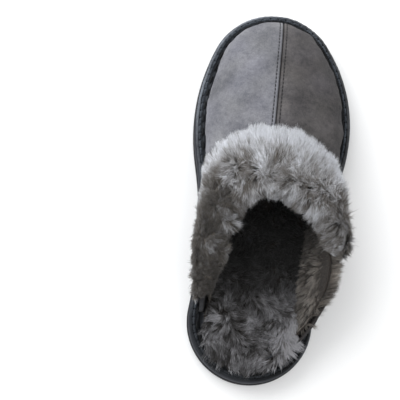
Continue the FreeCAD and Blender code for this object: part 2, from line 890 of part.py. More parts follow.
def make_seam_stitches(doc, upper, side):
    """A row of small stitches beside the centre seam."""
    size = upper.size
    name = "seam_topstitch_lateral" if side > 0 else "seam_topstitch_medial"
    lift = size.seam_stitch_radius + size.seam_stitch_lift
    stitches = []
    rise = SEAM_STITCH_START
    while rise < SEAM_STITCH_END:
        across = side * size.seam_stitch_offset / upper.spread(rise)
        slope = upper.point(across, rise + NORMAL_STEP) - upper.point(across, rise - NORMAL_STEP)
        middle = upper.point(across, rise) + upper.normal(across, rise) * lift
        stitches.append(thread(middle, slope, size.seam_stitch_length, size.seam_stitch_radius))
        rise += size.seam_stitch_pitch * 2 * NORMAL_STEP / slope.Length
    return add_feature(doc, name, Part.makeCompound(stitches))


def make_welt_stitches(doc, size, which):
    """Thick thread lying in one of the welt's channels."""
    inset = getattr(size, "welt_%s_inset" % which)
    pitch = getattr(size, "welt_%s_pitch" % which)
    length = getattr(size, "welt_%s_length" % which)
    radius = getattr(size, "welt_%s_radius" % which)
    outline = Outline(size, inset)
    count = int(outline.total / pitch)
    top = size.outsole_thickness + size.midsole_thickness + size.welt_thickness
    height = top - size.channel_half_width + size.welt_thread_clearance + radius
    stitches = []
    for index in range(count):
        point, outward = outline.at(outline.total * index / count)
        along = UP.cross(outward)
        middle = Vector(point.x, point.y, height)
        stitches.append(thread(middle, along, length, radius))
    return add_feature(doc, "welt_%s_stitches" % which, Part.makeCompound(stitches))


def make_topline_stitches(doc, upper):
    """Stitches that hold the collar to the throat, under the fold."""
    size = upper.size
    lift = size.topline_stitch_radius + size.topline_stitch_lift
    stitches = []
    across = -STITCH_LAST
    while across < STITCH_LAST:
        rise = upper.rise_before_throat(across, size.topline_tape_width / 2)
        run = upper.point(across + NORMAL_STEP, rise) - upper.point(across - NORMAL_STEP, rise)
        middle = upper.point(across, rise) + upper.normal(across, rise) * lift
        stitches.append(thread(
            middle, run, size.topline_stitch_length, size.topline_stitch_radius))
        across += size.topline_stitch_pitch * 2 * NORMAL_STEP / run.Length
    return add_feature(doc, "topline_stitches", Part.makeCompound(stitches))


# ---------------------------------------------------------------- assembly

def main():
    doc = FreeCAD.newDocument("slipper")
    size = make_sheet(doc)
    upper = Upper(size)

    board_base = "Sizes.outsole_thickness + Sizes.midsole_thickness"
    foam_base = board_base + " + Sizes.board_thickness"

    pieces = [
        make_outsole(doc, size),
        make_midsole(doc, size),
        make_welt(doc, size),
        make_layer(doc, size, "insole_board", "board_inset", board_base, "board_thickness"),
        make_layer(doc, size, "footbed_foam", "foam_inset", foam_base, "foam_thickness"),
        make_footbed_fleece(doc, size),
        make_panel(doc, upper, -1),
        make_panel(doc, upper, 1),
        make_seam_tape(doc, upper),
        make_topline_tape(doc, upper),
        make_lining(doc, upper, -1),
        make_lining(doc, upper, 1),
        make_cuff(doc, upper),
        make_seam_stitches(doc, upper, -1),
        make_seam_stitches(doc, upper, 1),
        make_welt_stitches(doc, size, "outer"),
        make_welt_stitches(doc, size, "inner"),
        make_topline_stitches(doc, upper),
    ]

    doc.recompute()
    for item in doc.Objects:
        check_object(item)
    os.makedirs("parts", exist_ok=True)
    box = FreeCAD.BoundBox()
    for piece in pieces:
        if piece.Shape.isNull() or not piece.Shape.isValid():
            raise RuntimeError(piece.Label + " has no valid shape")
        piece.Shape.exportStep("parts/%s.step" % piece.Label)
        box.add(piece.Shape.optimalBoundingBox(False, False))
        print("%-24s %3d solids" % (piece.Label, len(piece.Shape.Solids)))
    print("box %.2f..%.2f  %.2f..%.2f  %.2f..%.2f"
          % (box.XMin, box.XMax, box.YMin, box.YMax, box.ZMin, box.ZMax))


main()
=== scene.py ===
import math

import bpy
import numpy as np
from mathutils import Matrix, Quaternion, Vector


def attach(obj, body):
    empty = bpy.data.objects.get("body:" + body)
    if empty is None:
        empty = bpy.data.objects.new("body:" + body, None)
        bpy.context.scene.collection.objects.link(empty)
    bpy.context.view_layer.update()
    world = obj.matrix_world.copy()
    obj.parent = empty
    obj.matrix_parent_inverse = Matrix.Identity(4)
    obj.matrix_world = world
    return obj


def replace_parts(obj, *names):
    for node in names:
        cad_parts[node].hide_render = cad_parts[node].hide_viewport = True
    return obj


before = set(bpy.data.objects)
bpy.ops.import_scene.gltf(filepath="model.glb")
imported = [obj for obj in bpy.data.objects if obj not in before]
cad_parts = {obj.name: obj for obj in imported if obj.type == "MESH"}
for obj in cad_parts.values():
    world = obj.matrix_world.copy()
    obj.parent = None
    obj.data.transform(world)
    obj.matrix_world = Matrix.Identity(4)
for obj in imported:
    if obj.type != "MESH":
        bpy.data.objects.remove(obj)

# Fluffy house slipper. All shapes are worked out in millimetres; make_object turns them into metres.
# "medial" is the big-toe side, "lateral" the fifth-toe side. On the upper, a runs from -1 (medial end)
# over 0 (centre seam) to 1 (lateral end), and rise from 0 (welt) to 1 (throat edge).

SHIFT = np.array([-6.8, 0.0, 0.0])  # the CAD frame sits this far beside the outline's own axis
UP = np.array([0.0, 0.0, 1.0])
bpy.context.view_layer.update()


def linear(*rgb):
    """Linear colour from 8-bit display values."""
    share = np.array(rgb, float) / 255
    return np.where(share <= 0.04045, share / 12.92, ((share + 0.055) / 1.055) ** 2.4)


def unit(v):
    """Vectors scaled to length one."""
    return v / np.maximum(np.linalg.norm(v, axis=-1, keepdims=True), 1e-9)


def lifted(plan, z):
    """Plan points, or directions, given a height."""
    return np.concatenate([plan, np.broadcast_to(z, plan.shape[:-1])[..., None]], -1)


def smooth(x, low, high):
    """0 at low, 1 at high, and a smooth step between."""
    t = np.clip((x - low) / (high - low), 0, 1)
    return t * t * (3 - 2 * t)


def bell(x, middle, width):
    """Bell curve, 1 high at the middle."""
    return np.exp(-((x - middle) / width) ** 2)


def waves(points, size, seed, count=7):
    """Smooth noise of about unit height that varies over `size` millimetres."""
    rng = np.random.default_rng(seed)
    total = np.zeros(points.shape[:-1])
    for _ in range(count):
        direction = unit(rng.normal(size=3)) * rng.uniform(0.6, 1.5) * 2 * math.pi / size
        total += np.sin(points @ direction + rng.uniform(0, 2 * math.pi))
    return total / math.sqrt(count / 2)


# ---------------------------------------------------------------- sole outline, as in the CAD

LENGTH = 270
TOE_RADIUS, TOE_SHIFT = 47, 2.5
HEEL_RADIUS, HEEL_SHIFT = 44, -3
BALL_LATERAL, BALL_LATERAL_Y = 61.5, 50
BALL_MEDIAL, BALL_MEDIAL_Y = 52.5, 50
WAIST_LATERAL, WAIST_MEDIAL = 420, 300


def tangent_centre(first, r1, second, r2, radius, side):
    """Centre of a hollow arc that touches two round arcs from outside."""
    span = second - first
    length = np.hypot(*span)
    a, b = r1 + radius, r2 + radius
    along = (length ** 2 + a ** 2 - b ** 2) / (2 * length)
    across = math.sqrt(a ** 2 - along ** 2)
    d = span / length
    n = np.array([-d[1], d[0]])
    if n[0] * side < 0:
        n = -n
    return first + d * along + n * across


def outline_circles():
    """The six arcs of the sole outline: centre, radius, and whether the arc bulges outwards."""
    toe = np.array([TOE_SHIFT, LENGTH / 2 - TOE_RADIUS])
    heel = np.array([HEEL_SHIFT, HEEL_RADIUS - LENGTH / 2])

    def ball_radius(reach, y):
        return (reach ** 2 + (toe[1] - y) ** 2 - TOE_RADIUS ** 2) / (2 * (reach - TOE_RADIUS))

    rl = ball_radius(BALL_LATERAL - TOE_SHIFT, BALL_LATERAL_Y)
    rm = ball_radius(BALL_MEDIAL + TOE_SHIFT, BALL_MEDIAL_Y)
    lateral = np.array([BALL_LATERAL - rl, BALL_LATERAL_Y])
    medial = np.array([rm - BALL_MEDIAL, BALL_MEDIAL_Y])
    mw = tangent_centre(medial, rm, heel, HEEL_RADIUS, WAIST_MEDIAL, -1)
    lw = tangent_centre(lateral, rl, heel, HEEL_RADIUS, WAIST_LATERAL, 1)
    return [(lateral, rl, True), (toe, TOE_RADIUS, True), (medial, rm, True),
            (mw, WAIST_MEDIAL, False), (heel, HEEL_RADIUS, True), (lw, WAIST_LATERAL, False)]


def joint_point(first, second):
    """Point at which two neighbouring arcs touch."""
    if first[2] and second[2]:
        inner, outer = (first, second) if first[1] < second[1] else (second, first)
        d = inner[0] - outer[0]
        return inner[0] + d * inner[1] / np.hypot(*d)
    d = second[0] - first[0]
    return first[0] + d * first[1] / np.hypot(*d)


class Outline:
    """The sole outline moved inwards, walked anticlockwise by arc length from the lateral ball."""

    def __init__(self, inset):
        circles = outline_circles()
        arcs = []
        for i, circle in enumerate(circles):
            centre, radius, convex = circle
            a = joint_point(circles[i - 1], circle) - centre
            b = joint_point(circle, circles[(i + 1) % 6]) - centre
            a, b = math.atan2(a[1], a[0]), math.atan2(b[1], b[0])
            sweep = (b - a) % (2 * math.pi) if convex else -((a - b) % (2 * math.pi))
            arcs.append((*centre, radius - inset if convex else radius + inset, a, sweep))
        arcs = np.array(arcs)
        self.centre = arcs[:, :2]
        self.radius, self.start, self.sweep = arcs[:, 2:].T
        self.lengths = np.abs(self.radius * self.sweep)
        self.ends = np.cumsum(self.lengths)
        self.total = self.ends[-1]

    def at(self, distance):
        d = np.asarray(distance, float) % self.total
        i = np.minimum(np.searchsorted(self.ends, d, side="right"), 5)
        left = d - (self.ends[i] - self.lengths[i])
        angle = self.start[i] + self.sweep[i] * left / self.lengths[i]
        ray = np.stack([np.cos(angle), np.sin(angle)], -1)
        point = self.centre[i] + ray * self.radius[i][..., None]
        return point, np.where(self.sweep[i] > 0, 1, -1)[..., None] * ray

    def toe_distance(self, x):
        angle = math.acos((x - self.centre[1][0]) / self.radius[1])
        return self.lengths[0] + (angle - self.start[1]) * self.radius[1]

    def side_distance(self, start, direction, y):
        """Distance to walk from a start until the outline has come back to a given Y."""
        low, high = 0.0, self.total / 2
        for _ in range(60):
            middle = (low + high) / 2
            if self.at(start + direction * middle)[0][1] > y:
                low = middle
            else:
                high = middle
        return low


# ---------------------------------------------------------------- upper surface, as in the CAD

BASE = 17.0
FOOTBED_TOP = 30.0
THROAT_X, THROAT_Y, THROAT_Z = 2.0, -8.0, 70.0
THROAT_LATERAL, THROAT_MEDIAL = 52.0, 35.0
SIDE_Y, SIDE_Z = -50.0, 55.0
END_LATERAL_Y, END_MEDIAL_Y, END_Z = -112.0, -88.0, 26.0
LEG_BEND_LATERAL, LEG_BEND_MEDIAL, LEG_FALL = 3.0, 2.0, 1.8
ARCH_EASE, LEG_EASE = 0.6, 0.45
CUFF_END_LATERAL_Y, CUFF_END_MEDIAL_Y = -47.0, -78.0

inner_line = Outline(10)
seam = inner_line.toe_distance(7)
reach_m = inner_line.side_distance(seam, 1, END_MEDIAL_Y)
reach_l = inner_line.side_distance(seam, -1, END_LATERAL_Y)
share_m = inner_line.side_distance(seam, 1, SIDE_Y) / reach_m
share_l = inner_line.side_distance(seam, -1, SIDE_Y) / reach_l


def welt_point(a):
    """Foot of the upper on the welt, and the direction outwards."""
    side = np.where(a >= 0, 1.0, -1.0)
    reach = np.where(a >= 0, reach_l, reach_m)
    point, outward = inner_line.at(seam - side * np.abs(a) * reach)
    return lifted(point, BASE), lifted(outward, 0.0)


END_LATERAL_X = welt_point(np.array(1.0))[0][0]
END_MEDIAL_X = welt_point(np.array(-1.0))[0][0]


def throat_point(a):
    """Point of the throat edge: an arch over the instep, then a leg down to the heel."""
    share_at = np.where(a >= 0, share_l, share_m)
    share = np.minimum(np.abs(a) / share_at, 1)
    angle = (share + ARCH_EASE * (share ** 2 - share)) * math.pi / 2
    edge = np.where(a >= 0, THROAT_LATERAL, -THROAT_MEDIAL)
    x = THROAT_X + (edge - THROAT_X) * np.sin(angle)
    y = SIDE_Y + (THROAT_Y - SIDE_Y) * np.cos(angle)
    z = THROAT_Z + (SIDE_Z - THROAT_Z) * np.sin(angle) ** 2
    run = np.clip((np.abs(a) - share_at) / (1 - share_at), 0, 1)
    leg = run + LEG_EASE * (run ** 2 - run)
    end_x = np.where(a >= 0, END_LATERAL_X, END_MEDIAL_X)
    end_y = np.where(a >= 0, END_LATERAL_Y, END_MEDIAL_Y)
    bend = np.where(a >= 0, LEG_BEND_LATERAL, LEG_BEND_MEDIAL)
    later = run > 0
    x = np.where(later, edge + (end_x - edge) * run ** bend, x)
    y = np.where(later, SIDE_Y + (end_y - SIDE_Y) * leg, y)
    z = np.where(later, SIDE_Z + (END_Z - SIDE_Z) * run ** LEG_FALL, z)
    return np.stack([x, y, z], -1)


def upper_point(a, rise):
    """Point of the suede surface: a = -1 medial end, 0 seam, 1 lateral end; rise 0 welt, 1 throat."""
    a, rise = np.broadcast_arrays(np.asarray(a, float), np.asarray(rise, float))
    welt, outward = welt_point(a)
    throat = throat_point(a)
    height = throat[..., 2] - BASE
    flat = (welt - throat) * np.array([1, 1, 0])
    side = np.minimum(1.0, np.abs(a) / 0.8) ** 2
    stature = np.minimum(1.0, height / 38)
    swell = (5.5 + 4.5 * side) * stature
    lean = 9 * side * stature
    drop = 16 * (1 - side) + 11 * side * stature
    lift = 0.66 - 0.24 * side

    def by(v, k):
        return v * k[..., None]

    poles = [
        welt,
        welt + by(UP, 12 * np.maximum(stature, 0.5)),
        welt + by(outward, swell) + by(UP, height * lift),
        throat + flat * 0.72 + by(outward, lean) - by(UP, drop),
        throat,
    ]
    total = 0
    for i, pole in enumerate(poles):
        total = total + by(pole, math.comb(4, i) * rise ** i * (1 - rise) ** (4 - i))
    return total


def upper_normal(a, rise):
    """Outward normal of the suede surface."""
    step = 0.004
    along = upper_point(a, np.minimum(1, rise + step)) - upper_point(a, np.maximum(0, rise - step))
    sideways = (upper_point(np.minimum(1, a + step), rise)
                - upper_point(np.maximum(-1, a - step), rise))
    n = unit(np.cross(along, sideways))
    flip = np.sum(n * (welt_point(a)[1] + UP), -1) < 0
    return np.where(flip[..., None], -n, n)


def rise_at_height(a, z):
    """Rise at which the suede reaches a height."""
    low, high = np.zeros_like(a), np.ones_like(a)
    for _ in range(40):
        middle = (low + high) / 2
        below = upper_point(a, middle)[..., 2] < z
        low, high = np.where(below, middle, low), np.where(below, high, middle)
    return high


def rise_before_throat(a, distance):
    """Rise at a distance from the throat, measured over the surface, for each a."""
    rises = np.linspace(1, 0, 201)
    points = upper_point(a[:, None], rises[None, :])
    walked = np.concatenate([np.zeros((len(a), 1)), np.cumsum(
        np.linalg.norm(np.diff(points, axis=1), axis=-1), 1)], 1)
    return np.array([np.interp(d, w, rises) for d, w in zip(distance, walked)])


# ---------------------------------------------------------------- mesh helpers

def make_object(name, points, faces, material, colours=None, uv=None):
    """A mesh object from points in millimetres, which rides the root."""
    faces = np.asarray(faces, dtype=np.int32)
    mesh = bpy.data.meshes.new(name)
    corner_count = faces.shape[1]
    mesh.vertices.add(len(points))
    mesh.vertices.foreach_set("co", ((points + SHIFT) * 0.001).astype(np.float32).ravel())
    mesh.loops.add(faces.size)
    mesh.loops.foreach_set("vertex_index", faces.ravel())
    mesh.polygons.add(len(faces))
    mesh.polygons.foreach_set("loop_start", np.arange(0, faces.size, corner_count, dtype=np.int32))
    mesh.polygons.foreach_set("use_smooth", np.full(len(faces), True))
    mesh.update(calc_edges=True)
    if colours is not None:
        layer = mesh.color_attributes.new("Shade", "FLOAT_COLOR", "POINT")
        rgba = np.concatenate([colours, np.ones((len(colours), 1))], 1)
        layer.data.foreach_set("color", rgba.astype(np.float32).ravel())
    if uv is not None:
        layer = mesh.uv_layers.new(name="OFBake")
        layer.data.foreach_set("uv", uv[faces.ravel()].astype(np.float32).ravel())
    mesh.validate()
    mesh.materials.append(material)
    item = bpy.data.objects.new(name, mesh)
    bpy.context.scene.collection.objects.link(item)
    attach(item, "root")
    return item


def grid_faces(nu, nv, wrap_u=False, wrap_v=False, start=0):
    """Quads over a grid of nu by nv points."""
    us = np.arange(nu if wrap_u else nu - 1)
    vs = np.arange(nv if wrap_v else nv - 1)
    u, v = np.meshgrid(us, vs, indexing="ij")
    u1, v1 = (u + 1) % nu, (v + 1) % nv
    quads = np.stack([u * nv + v, u1 * nv + v, u1 * nv + v1, u * nv + v1], -1)
    return quads.reshape(-1, 4) + start


def shell(outer, inner):
    """Closed skin between two grids of the same shape."""
    nu, nv = outer.shape[:2]
    count = nu * nv
    points = np.concatenate([outer.reshape(-1, 3), inner.reshape(-1, 3)])
    top = grid_faces(nu, nv)
    bottom = grid_faces(nu, nv, start=count)[:, ::-1]
    border = np.concatenate([
        np.arange(0, nu) * nv,
        (nu - 1) * nv + np.arange(1, nv),
        (np.arange(nu - 2, -1, -1)) * nv + nv - 1,
        np.arange(nv - 2, 0, -1),
    ])
    following = np.roll(border, -1)
    rims = np.stack([following, border, border + count, following + count], -1)
    return points, np.concatenate([top, bottom, rims])


def outward_faces(points, faces):
    """Turn all the faces over if the closed skin is inside out."""
    tri = points[faces]
    volume = np.sum(tri[:, 0] * np.cross(tri[:, 1], tri[:, 2]))
    if faces.shape[1] == 4:
        volume += np.sum(tri[:, 0] * np.cross(tri[:, 2], tri[:, 3]))
    return faces[:, ::-1] if volume < 0 else faces


def triangles(quads):
    return np.concatenate([quads[:, [0, 1, 2]], quads[:, [0, 2, 3]]])


def copies(tris, count, per):
    """The triangles of one shape of `per` points, numbered on for each of its copies."""
    return (tris[None] + (np.arange(count) * per)[:, None, None]).reshape(-1, 3)


def circles(tangent, reference, sides):
    """Unit circles square to the tangents."""
    e1 = unit(np.cross(tangent, reference))
    e2 = np.cross(tangent, e1)
    angle = np.arange(sides)[:, None] * 2 * math.pi / sides
    return e1[:, :, None] * np.cos(angle) + e2[:, :, None] * np.sin(angle)


def tubes(paths, radii, sides):
    """Closed tubes along paths, shape (tubes, rings, 3), with a radius for each ring."""
    count, rings = paths.shape[:2]
    tangent = unit(np.gradient(paths, axis=1))
    reference = np.where(np.abs(tangent[..., 2:3]) > 0.9, np.array([1.0, 0, 0]), UP)
    points = paths[:, :, None] + circles(tangent, reference, sides) * radii[:, None, None]
    ends = np.stack([paths[:, 0], paths[:, -1]], 1)
    points = np.concatenate([points.reshape(count, rings * sides, 3), ends], 1)
    near = np.arange(sides)
    following = (near + 1) % sides
    last = (rings - 1) * sides
    middle = near * 0 + rings * sides
    tris = np.concatenate([triangles(grid_faces(rings, sides, wrap_v=True)),
                           np.stack([middle, following, near], -1),
                           np.stack([middle + 1, last + near, last + following], -1)])
    tris = outward_faces(points[0], tris)
    return points.reshape(-1, 3), copies(tris, count, points.shape[1])


# ---------------------------------------------------------------- materials

class Look:
    """A material in the making: its shader, and the nodes that feed it."""

    def __init__(self, name, roughness, sheen, specular):
        self.material = bpy.data.materials.new(name)
        self.material.use_nodes = True
        self.nodes = self.material.node_tree.nodes
        self.links = self.material.node_tree.links
        self.inputs = self.nodes["Principled BSDF"].inputs
        for socket, value in (("Roughness", roughness), ("Sheen Weight", sheen),
                              ("Sheen Roughness", 0.5), ("Specular IOR Level", specular)):
            self.inputs[socket].default_value = value

    def place(self):
        """Object position in millimetres."""
        where = self.nodes.new("ShaderNodeTexCoord")
        scale = self.nodes.new("ShaderNodeVectorMath")
        scale.operation = "SCALE"
        scale.inputs["Scale"].default_value = 1000
        self.links.new(where.outputs["Object"], scale.inputs[0])
        return scale.outputs["Vector"]

    def noise(self, position, size, detail, rough):
        """Noise whose features are about `size` millimetres wide."""
        node = self.nodes.new("ShaderNodeTexNoise")
        node.inputs["Scale"].default_value = 1 / size
        node.inputs["Detail"].default_value = detail
        node.inputs["Roughness"].default_value = rough
        self.links.new(position, node.inputs["Vector"])
        return node.outputs["Fac"]

    def math(self, operation, first, second):
        node = self.nodes.new("ShaderNodeMath")
        node.operation = operation
        for socket, value in zip(node.inputs, (first, second)):
            if hasattr(value, "is_linked"):
                self.links.new(value, socket)
            else:
                socket.default_value = value
        return node.outputs["Value"]

    def weigh(self, *pairs):
        """Sum of values, each times its weight."""
        total = None
        for value, weight in pairs:
            part = self.math("MULTIPLY", value, weight)
            total = part if total is None else self.math("ADD", total, part)
        return total

    def ramp(self, value, *stops):
        """Colours placed along a value."""
        node = self.nodes.new("ShaderNodeValToRGB")
        for element, (where, colour) in zip(node.color_ramp.elements, stops):
            element.position = where
            element.color = (*colour, 1)
        self.links.new(value, node.inputs["Fac"])
        return node.outputs["Color"]

    def own_colour(self):
        """The colours stored on the mesh."""
        node = self.nodes.new("ShaderNodeAttribute")
        node.attribute_name = "Shade"
        return node.outputs["Color"]

    def shaded(self, colour):
        """A colour times the colours stored on the mesh."""
        node = self.nodes.new("ShaderNodeMix")
        node.data_type = "RGBA"
        node.blend_type = "MULTIPLY"
        node.inputs["Factor"].default_value = 1.0
        self.links.new(colour, node.inputs["A"])
        self.links.new(self.own_colour(), node.inputs["B"])
        return node.outputs["Result"]

    def bump(self, height, distance):
        """Bump whose height runs over `distance` metres."""
        node = self.nodes.new("ShaderNodeBump")
        node.inputs["Strength"].default_value = 1
        node.inputs["Distance"].default_value = distance
        self.links.new(height, node.inputs["Height"])
        self.links.new(node.outputs["Normal"], self.inputs["Normal"])

    def finish(self, colour):
        self.links.new(colour, self.inputs["Base Color"])
        return self.material


def suede_material(name, low, high, sheen, grain=0.9):
    """Napped leather: cloudy patches where the nap lies differently, and a fine fibrous grain."""
    look = Look(name, 1.0, sheen, 0.0)
    at = look.place()
    cloud = look.noise(at, 16, 3, 0.55)
    patch = look.noise(at, 3.2, 4, 0.65)
    fine = look.noise(at, grain, 4, 0.75)
    total = look.weigh((cloud, 0.28), (patch, 0.32), (fine, 0.4))
    look.bump(look.weigh((fine, 0.7), (patch, 0.5)), 0.0007)
    return look.finish(look.shaded(look.ramp(total, (0.38, linear(*low)), (0.62, linear(*high)))))


def thread_material(name, dark, light):
    """Waxed multi-ply thread: fine fibres along a slightly uneven dye."""
    look = Look(name, 0.6, 0.0, 0.25)
    at = look.place()
    fine = look.noise(at, 0.25, 3, 0.7)
    wide = look.noise(at, 6, 2, 0.5)
    total = look.weigh((fine, 0.5), (wide, 0.5))
    look.bump(fine, 0.00008)
    return look.finish(look.shaded(look.ramp(total, (0.38, linear(*dark)), (0.62, linear(*light)))))


def rubber_material(name, dark, light, grain, depth, roughness):
    """Moulded sole rubber or foam: even colour with a fine texture and faint scuffs."""
    look = Look(name, roughness, 0.0, 0.3)
    at = look.place()
    wide = look.noise(at, 14, 4, 0.6)
    look.bump(look.noise(at, grain, 3, 0.6), depth)
    return look.finish(look.ramp(wide, (0.35, linear(*dark)), (0.66, linear(*light))))


def fleece_base_material(name, dark, light):
    """The backing and root wool seen between the locks."""
    look = Look(name, 0.95, 0.1, 0.05)
    fine = look.noise(look.place(), 1.2, 4, 0.75)
    look.bump(fine, 0.0012)
    return look.finish(look.ramp(fine, (0.35, linear(*dark)), (0.68, linear(*light))))


def tape_material(name, colour):
    """Woven tape: fine crossed ribs."""
    look = Look(name, 0.85, 0.0, 0.2)
    fine = look.noise(look.place(), 0.5, 2, 0.5)
    look.bump(fine, 0.0002)
    return look.finish(look.ramp(fine, (0.4, linear(*colour) * 0.8), (0.6, linear(*colour) * 1.15)))


def fur_material(name):
    """Wool fibres coloured from root to tip by the mesh's own colours."""
    look = Look(name, 0.72, 0.15, 0.18)
    return look.finish(look.own_colour())


# One leather in two halves: the medial copy is paler and the lateral copy darker, partly because the
# nap lies differently and partly as painted light on the lit medial side and painted shade on the
# lateral side.
suede_medial_nap_and_light = suede_material("suede_medial_nap_and_light", (94, 95, 101), (132, 132, 137), 0.1)
suede_lateral_nap_and_shade = suede_material("suede_lateral_nap_and_shade", (59, 58, 59), (88, 85, 85), 0.06)
suede_welt = suede_material("suede_welt", (32, 33, 36), (60, 63, 67), 0.05, 0.7)
thread_thick = thread_material("thread_thick", (48, 52, 58), (80, 86, 94))
thread_dark = thread_material("thread_dark", (12, 13, 15), (24, 26, 29))
thread_fine = thread_material("thread_fine", (16, 16, 18), (34, 34, 37))
sole_rubber = rubber_material("sole_rubber", (38, 38, 41), (54, 54, 57), 0.8, 0.0002, 0.7)
sole_foam = rubber_material("sole_foam", (46, 48, 53), (62, 64, 69), 0.35, 0.00025, 0.85)
board_material = tape_material("board", (52, 46, 40))
tape_grey = tape_material("tape", (56, 50, 46))
cuff_base_material = fleece_base_material("cuff_base", (58, 53, 49), (104, 98, 92))
lining_base_material = fleece_base_material("lining_base", (30, 27, 25), (62, 56, 51))
# the footbed's backing is its dark root wool made darker still, as painted shade for the toe cavity
footbed_base_material = fleece_base_material("footbed_base", (20, 18, 17), (44, 40, 37))
fur_cuff = fur_material("fur_cuff")
fur_lining = fur_material("fur_lining")
fur_footbed = fur_material("fur_footbed")


# ---------------------------------------------------------------- suede panels

SEAM_ROW = 2.5
SEAM_PITCH = 3.0
LEATHER = 1.4

centre_rises = np.linspace(0, 1, 401)
centre_line = upper_point(np.zeros(401), centre_rises)
centre_lengths = np.concatenate([[0], np.cumsum(np.linalg.norm(np.diff(centre_line, axis=0), axis=1))])


def seam_relief(aside, along):
    """Height of the suede near the centre seam."""
    groove = -1.2 * bell(aside, 0, 0.55)
    allowance = 0.16 * bell(aside, 1.4, 0.9)
    beat = 0.5 + 0.5 * np.cos(2 * math.pi * along / SEAM_PITCH)
    row = -0.30 * bell(aside, SEAM_ROW, 0.55) * (0.55 + 0.45 * beat)
    pucker = -0.16 * beat * np.exp(-np.maximum(0, aside - SEAM_ROW) / 2.2) * (aside > SEAM_ROW)
    between = -0.14 * beat * bell(aside, 1.5, 0.8)
    return groove + allowance + row + pucker + between


def seam_spread(side, rise):
    """Millimetres across the suede for one unit of a, close to the centre seam."""
    step = 0.005
    span = upper_point(step * side + 0 * rise, rise) - upper_point(0 * rise, rise)
    return np.linalg.norm(span, axis=-1) / step


def panel_tone_and_painted_light(side, outer, height, aside):
    """Tone of the suede with painted light: a painted highlight along the turned edge, painted shade in
    the seam's groove and stitch row, under the turned edge and down the legs, and each half lighter or
    darker as it faces the light.
    """
    # edge is a painted highlight along the turned edge, crease a painted shade in the seam's groove and
    # stitch row; the last factor is painted shade low down under the turned edge
    edge = bell(height, 5.6, 1.3)
    crease = bell(aside, 0, 0.6) + 0.22 * bell(aside, SEAM_ROW, 0.5)
    pale = 1 + 0.30 * edge + 0.10 * waves(outer, 38, 14)
    pale = pale * (1 - 0.70 * np.minimum(crease, 1)) * (0.80 + 0.20 * smooth(height, 1.5, 5))
    if side < 0:
        # painted shadow down the medial leg, and a little painted shade towards the seam
        leg = 1 - 0.85 * smooth(outer[..., 1], -56, -76)
        pale = pale * (1 - 0.07 * smooth(outer[..., 0], -16, -2))
    else:
        # painted shade down the lateral leg; painted light near the seam and over the toe, painted
        # shade further out on the side
        leg = 1 - 0.35 * smooth(outer[..., 1], -60, -90)
        front = smooth(outer[..., 1], 60, 115)
        pale = pale * (1 + 0.36 * (1 - smooth(outer[..., 0], 2, 24)) * smooth(outer[..., 1], -10, 20)
                       + 0.12 * front - 0.10 * smooth(outer[..., 0], 22, 46) * (1 - front))
    pale = pale * leg
    warm = np.stack([pale, pale, pale * (1 + 0.015 * waves(outer, 30, 15))], -1)
    # the cut edge keeps its own brown, darkened down the legs by the same painted shade
    cut = np.stack([0.80 * leg, 0.76 * leg, 0.72 * leg], -1)
    return np.concatenate([warm.reshape(-1, 3), cut.reshape(-1, 3)])


def make_panel(name, side, material):
    """Half of the upper: the turned edge at the welt, the seam's groove, and slow ripples."""
    t = np.linspace(0, 1, 250)
    across = 0.0006 + 0.9994 * (0.10 * t + 0.90 * t ** 2.1)
    rises = np.concatenate([np.linspace(0, 0.2, 36, endpoint=False), np.linspace(0.2, 1, 150)])
    a = (side * across)[:, None] * np.ones(len(rises))
    r = np.ones(len(across))[:, None] * rises
    outer = upper_point(a, r)
    normal = upper_normal(a, r)
    aside = np.abs(a) * seam_spread(side, r[:1])
    along = np.interp(r, centre_rises, centre_lengths)
    height = outer[..., 2] - BASE
    rolls = 0.40 * waves(outer, 26, 11 if side > 0 else 12) + 0.16 * waves(outer, 9, 13)
    rolls = rolls * smooth(height, 3, 10) * smooth(aside, 3, 12)
    relief = seam_relief(aside, along) * (1 - smooth(np.abs(a), 0.08, 0.12)) + rolls
    lip = 0.75 * bell(height, 5.2, 1.5)
    below = -0.5 * bell(height, 2.9, 1.0)
    depth = relief + lip + below
    level = normal * np.array([1, 1, 0])
    turn = smooth(height, 4, 0)[..., None]
    normal = unit(normal * (1 - turn) + unit(level) * turn)
    inner = outer - normal * LEATHER
    outer = outer + normal * depth[..., None]
    points, faces = shell(outer, inner)
    colours = panel_tone_and_painted_light(side, outer, height, aside)
    return make_object(name, points, outward_faces(points, faces), material, colours)


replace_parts(make_panel("suede_panel_medial", -1, suede_medial_nap_and_light), "vamp_panel_medial")
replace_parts(make_panel("suede_panel_lateral", 1, suede_lateral_nap_and_shade), "vamp_panel_lateral")


def seam_stitches(name, side):
    """Short stitches that dip into the suede at both ends."""
    lengths = np.arange(5.0, centre_lengths[-1] * 0.93, SEAM_PITCH)
    half = 1.25
    steps = np.linspace(-half, half, 9)
    spots = lengths[:, None] + SEAM_PITCH / 2 + steps
    rise = np.interp(spots, centre_lengths, centre_rises)
    a = side * SEAM_ROW / seam_spread(side, rise)
    dip = 0.12 - 0.85 * np.abs(steps / half) ** 3
    relief = seam_relief(SEAM_ROW + 0 * spots, spots)
    path = upper_point(a, rise) + upper_normal(a, rise) * (relief + dip)[..., None]
    points, faces = tubes(path, 0.34 + 0 * steps, 7)
    return make_object(name, points, faces, thread_fine, np.ones_like(points))


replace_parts(seam_stitches("seam_stitches_medial", -1), "seam_topstitch_medial")
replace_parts(seam_stitches("seam_stitches_lateral", 1), "seam_topstitch_lateral")


# ---------------------------------------------------------------- welt and its threads

OUTER_ROW, OUTER_PITCH = 4.8, 5.5
INNER_ROW, INNER_PITCH = 7.0, 9.8

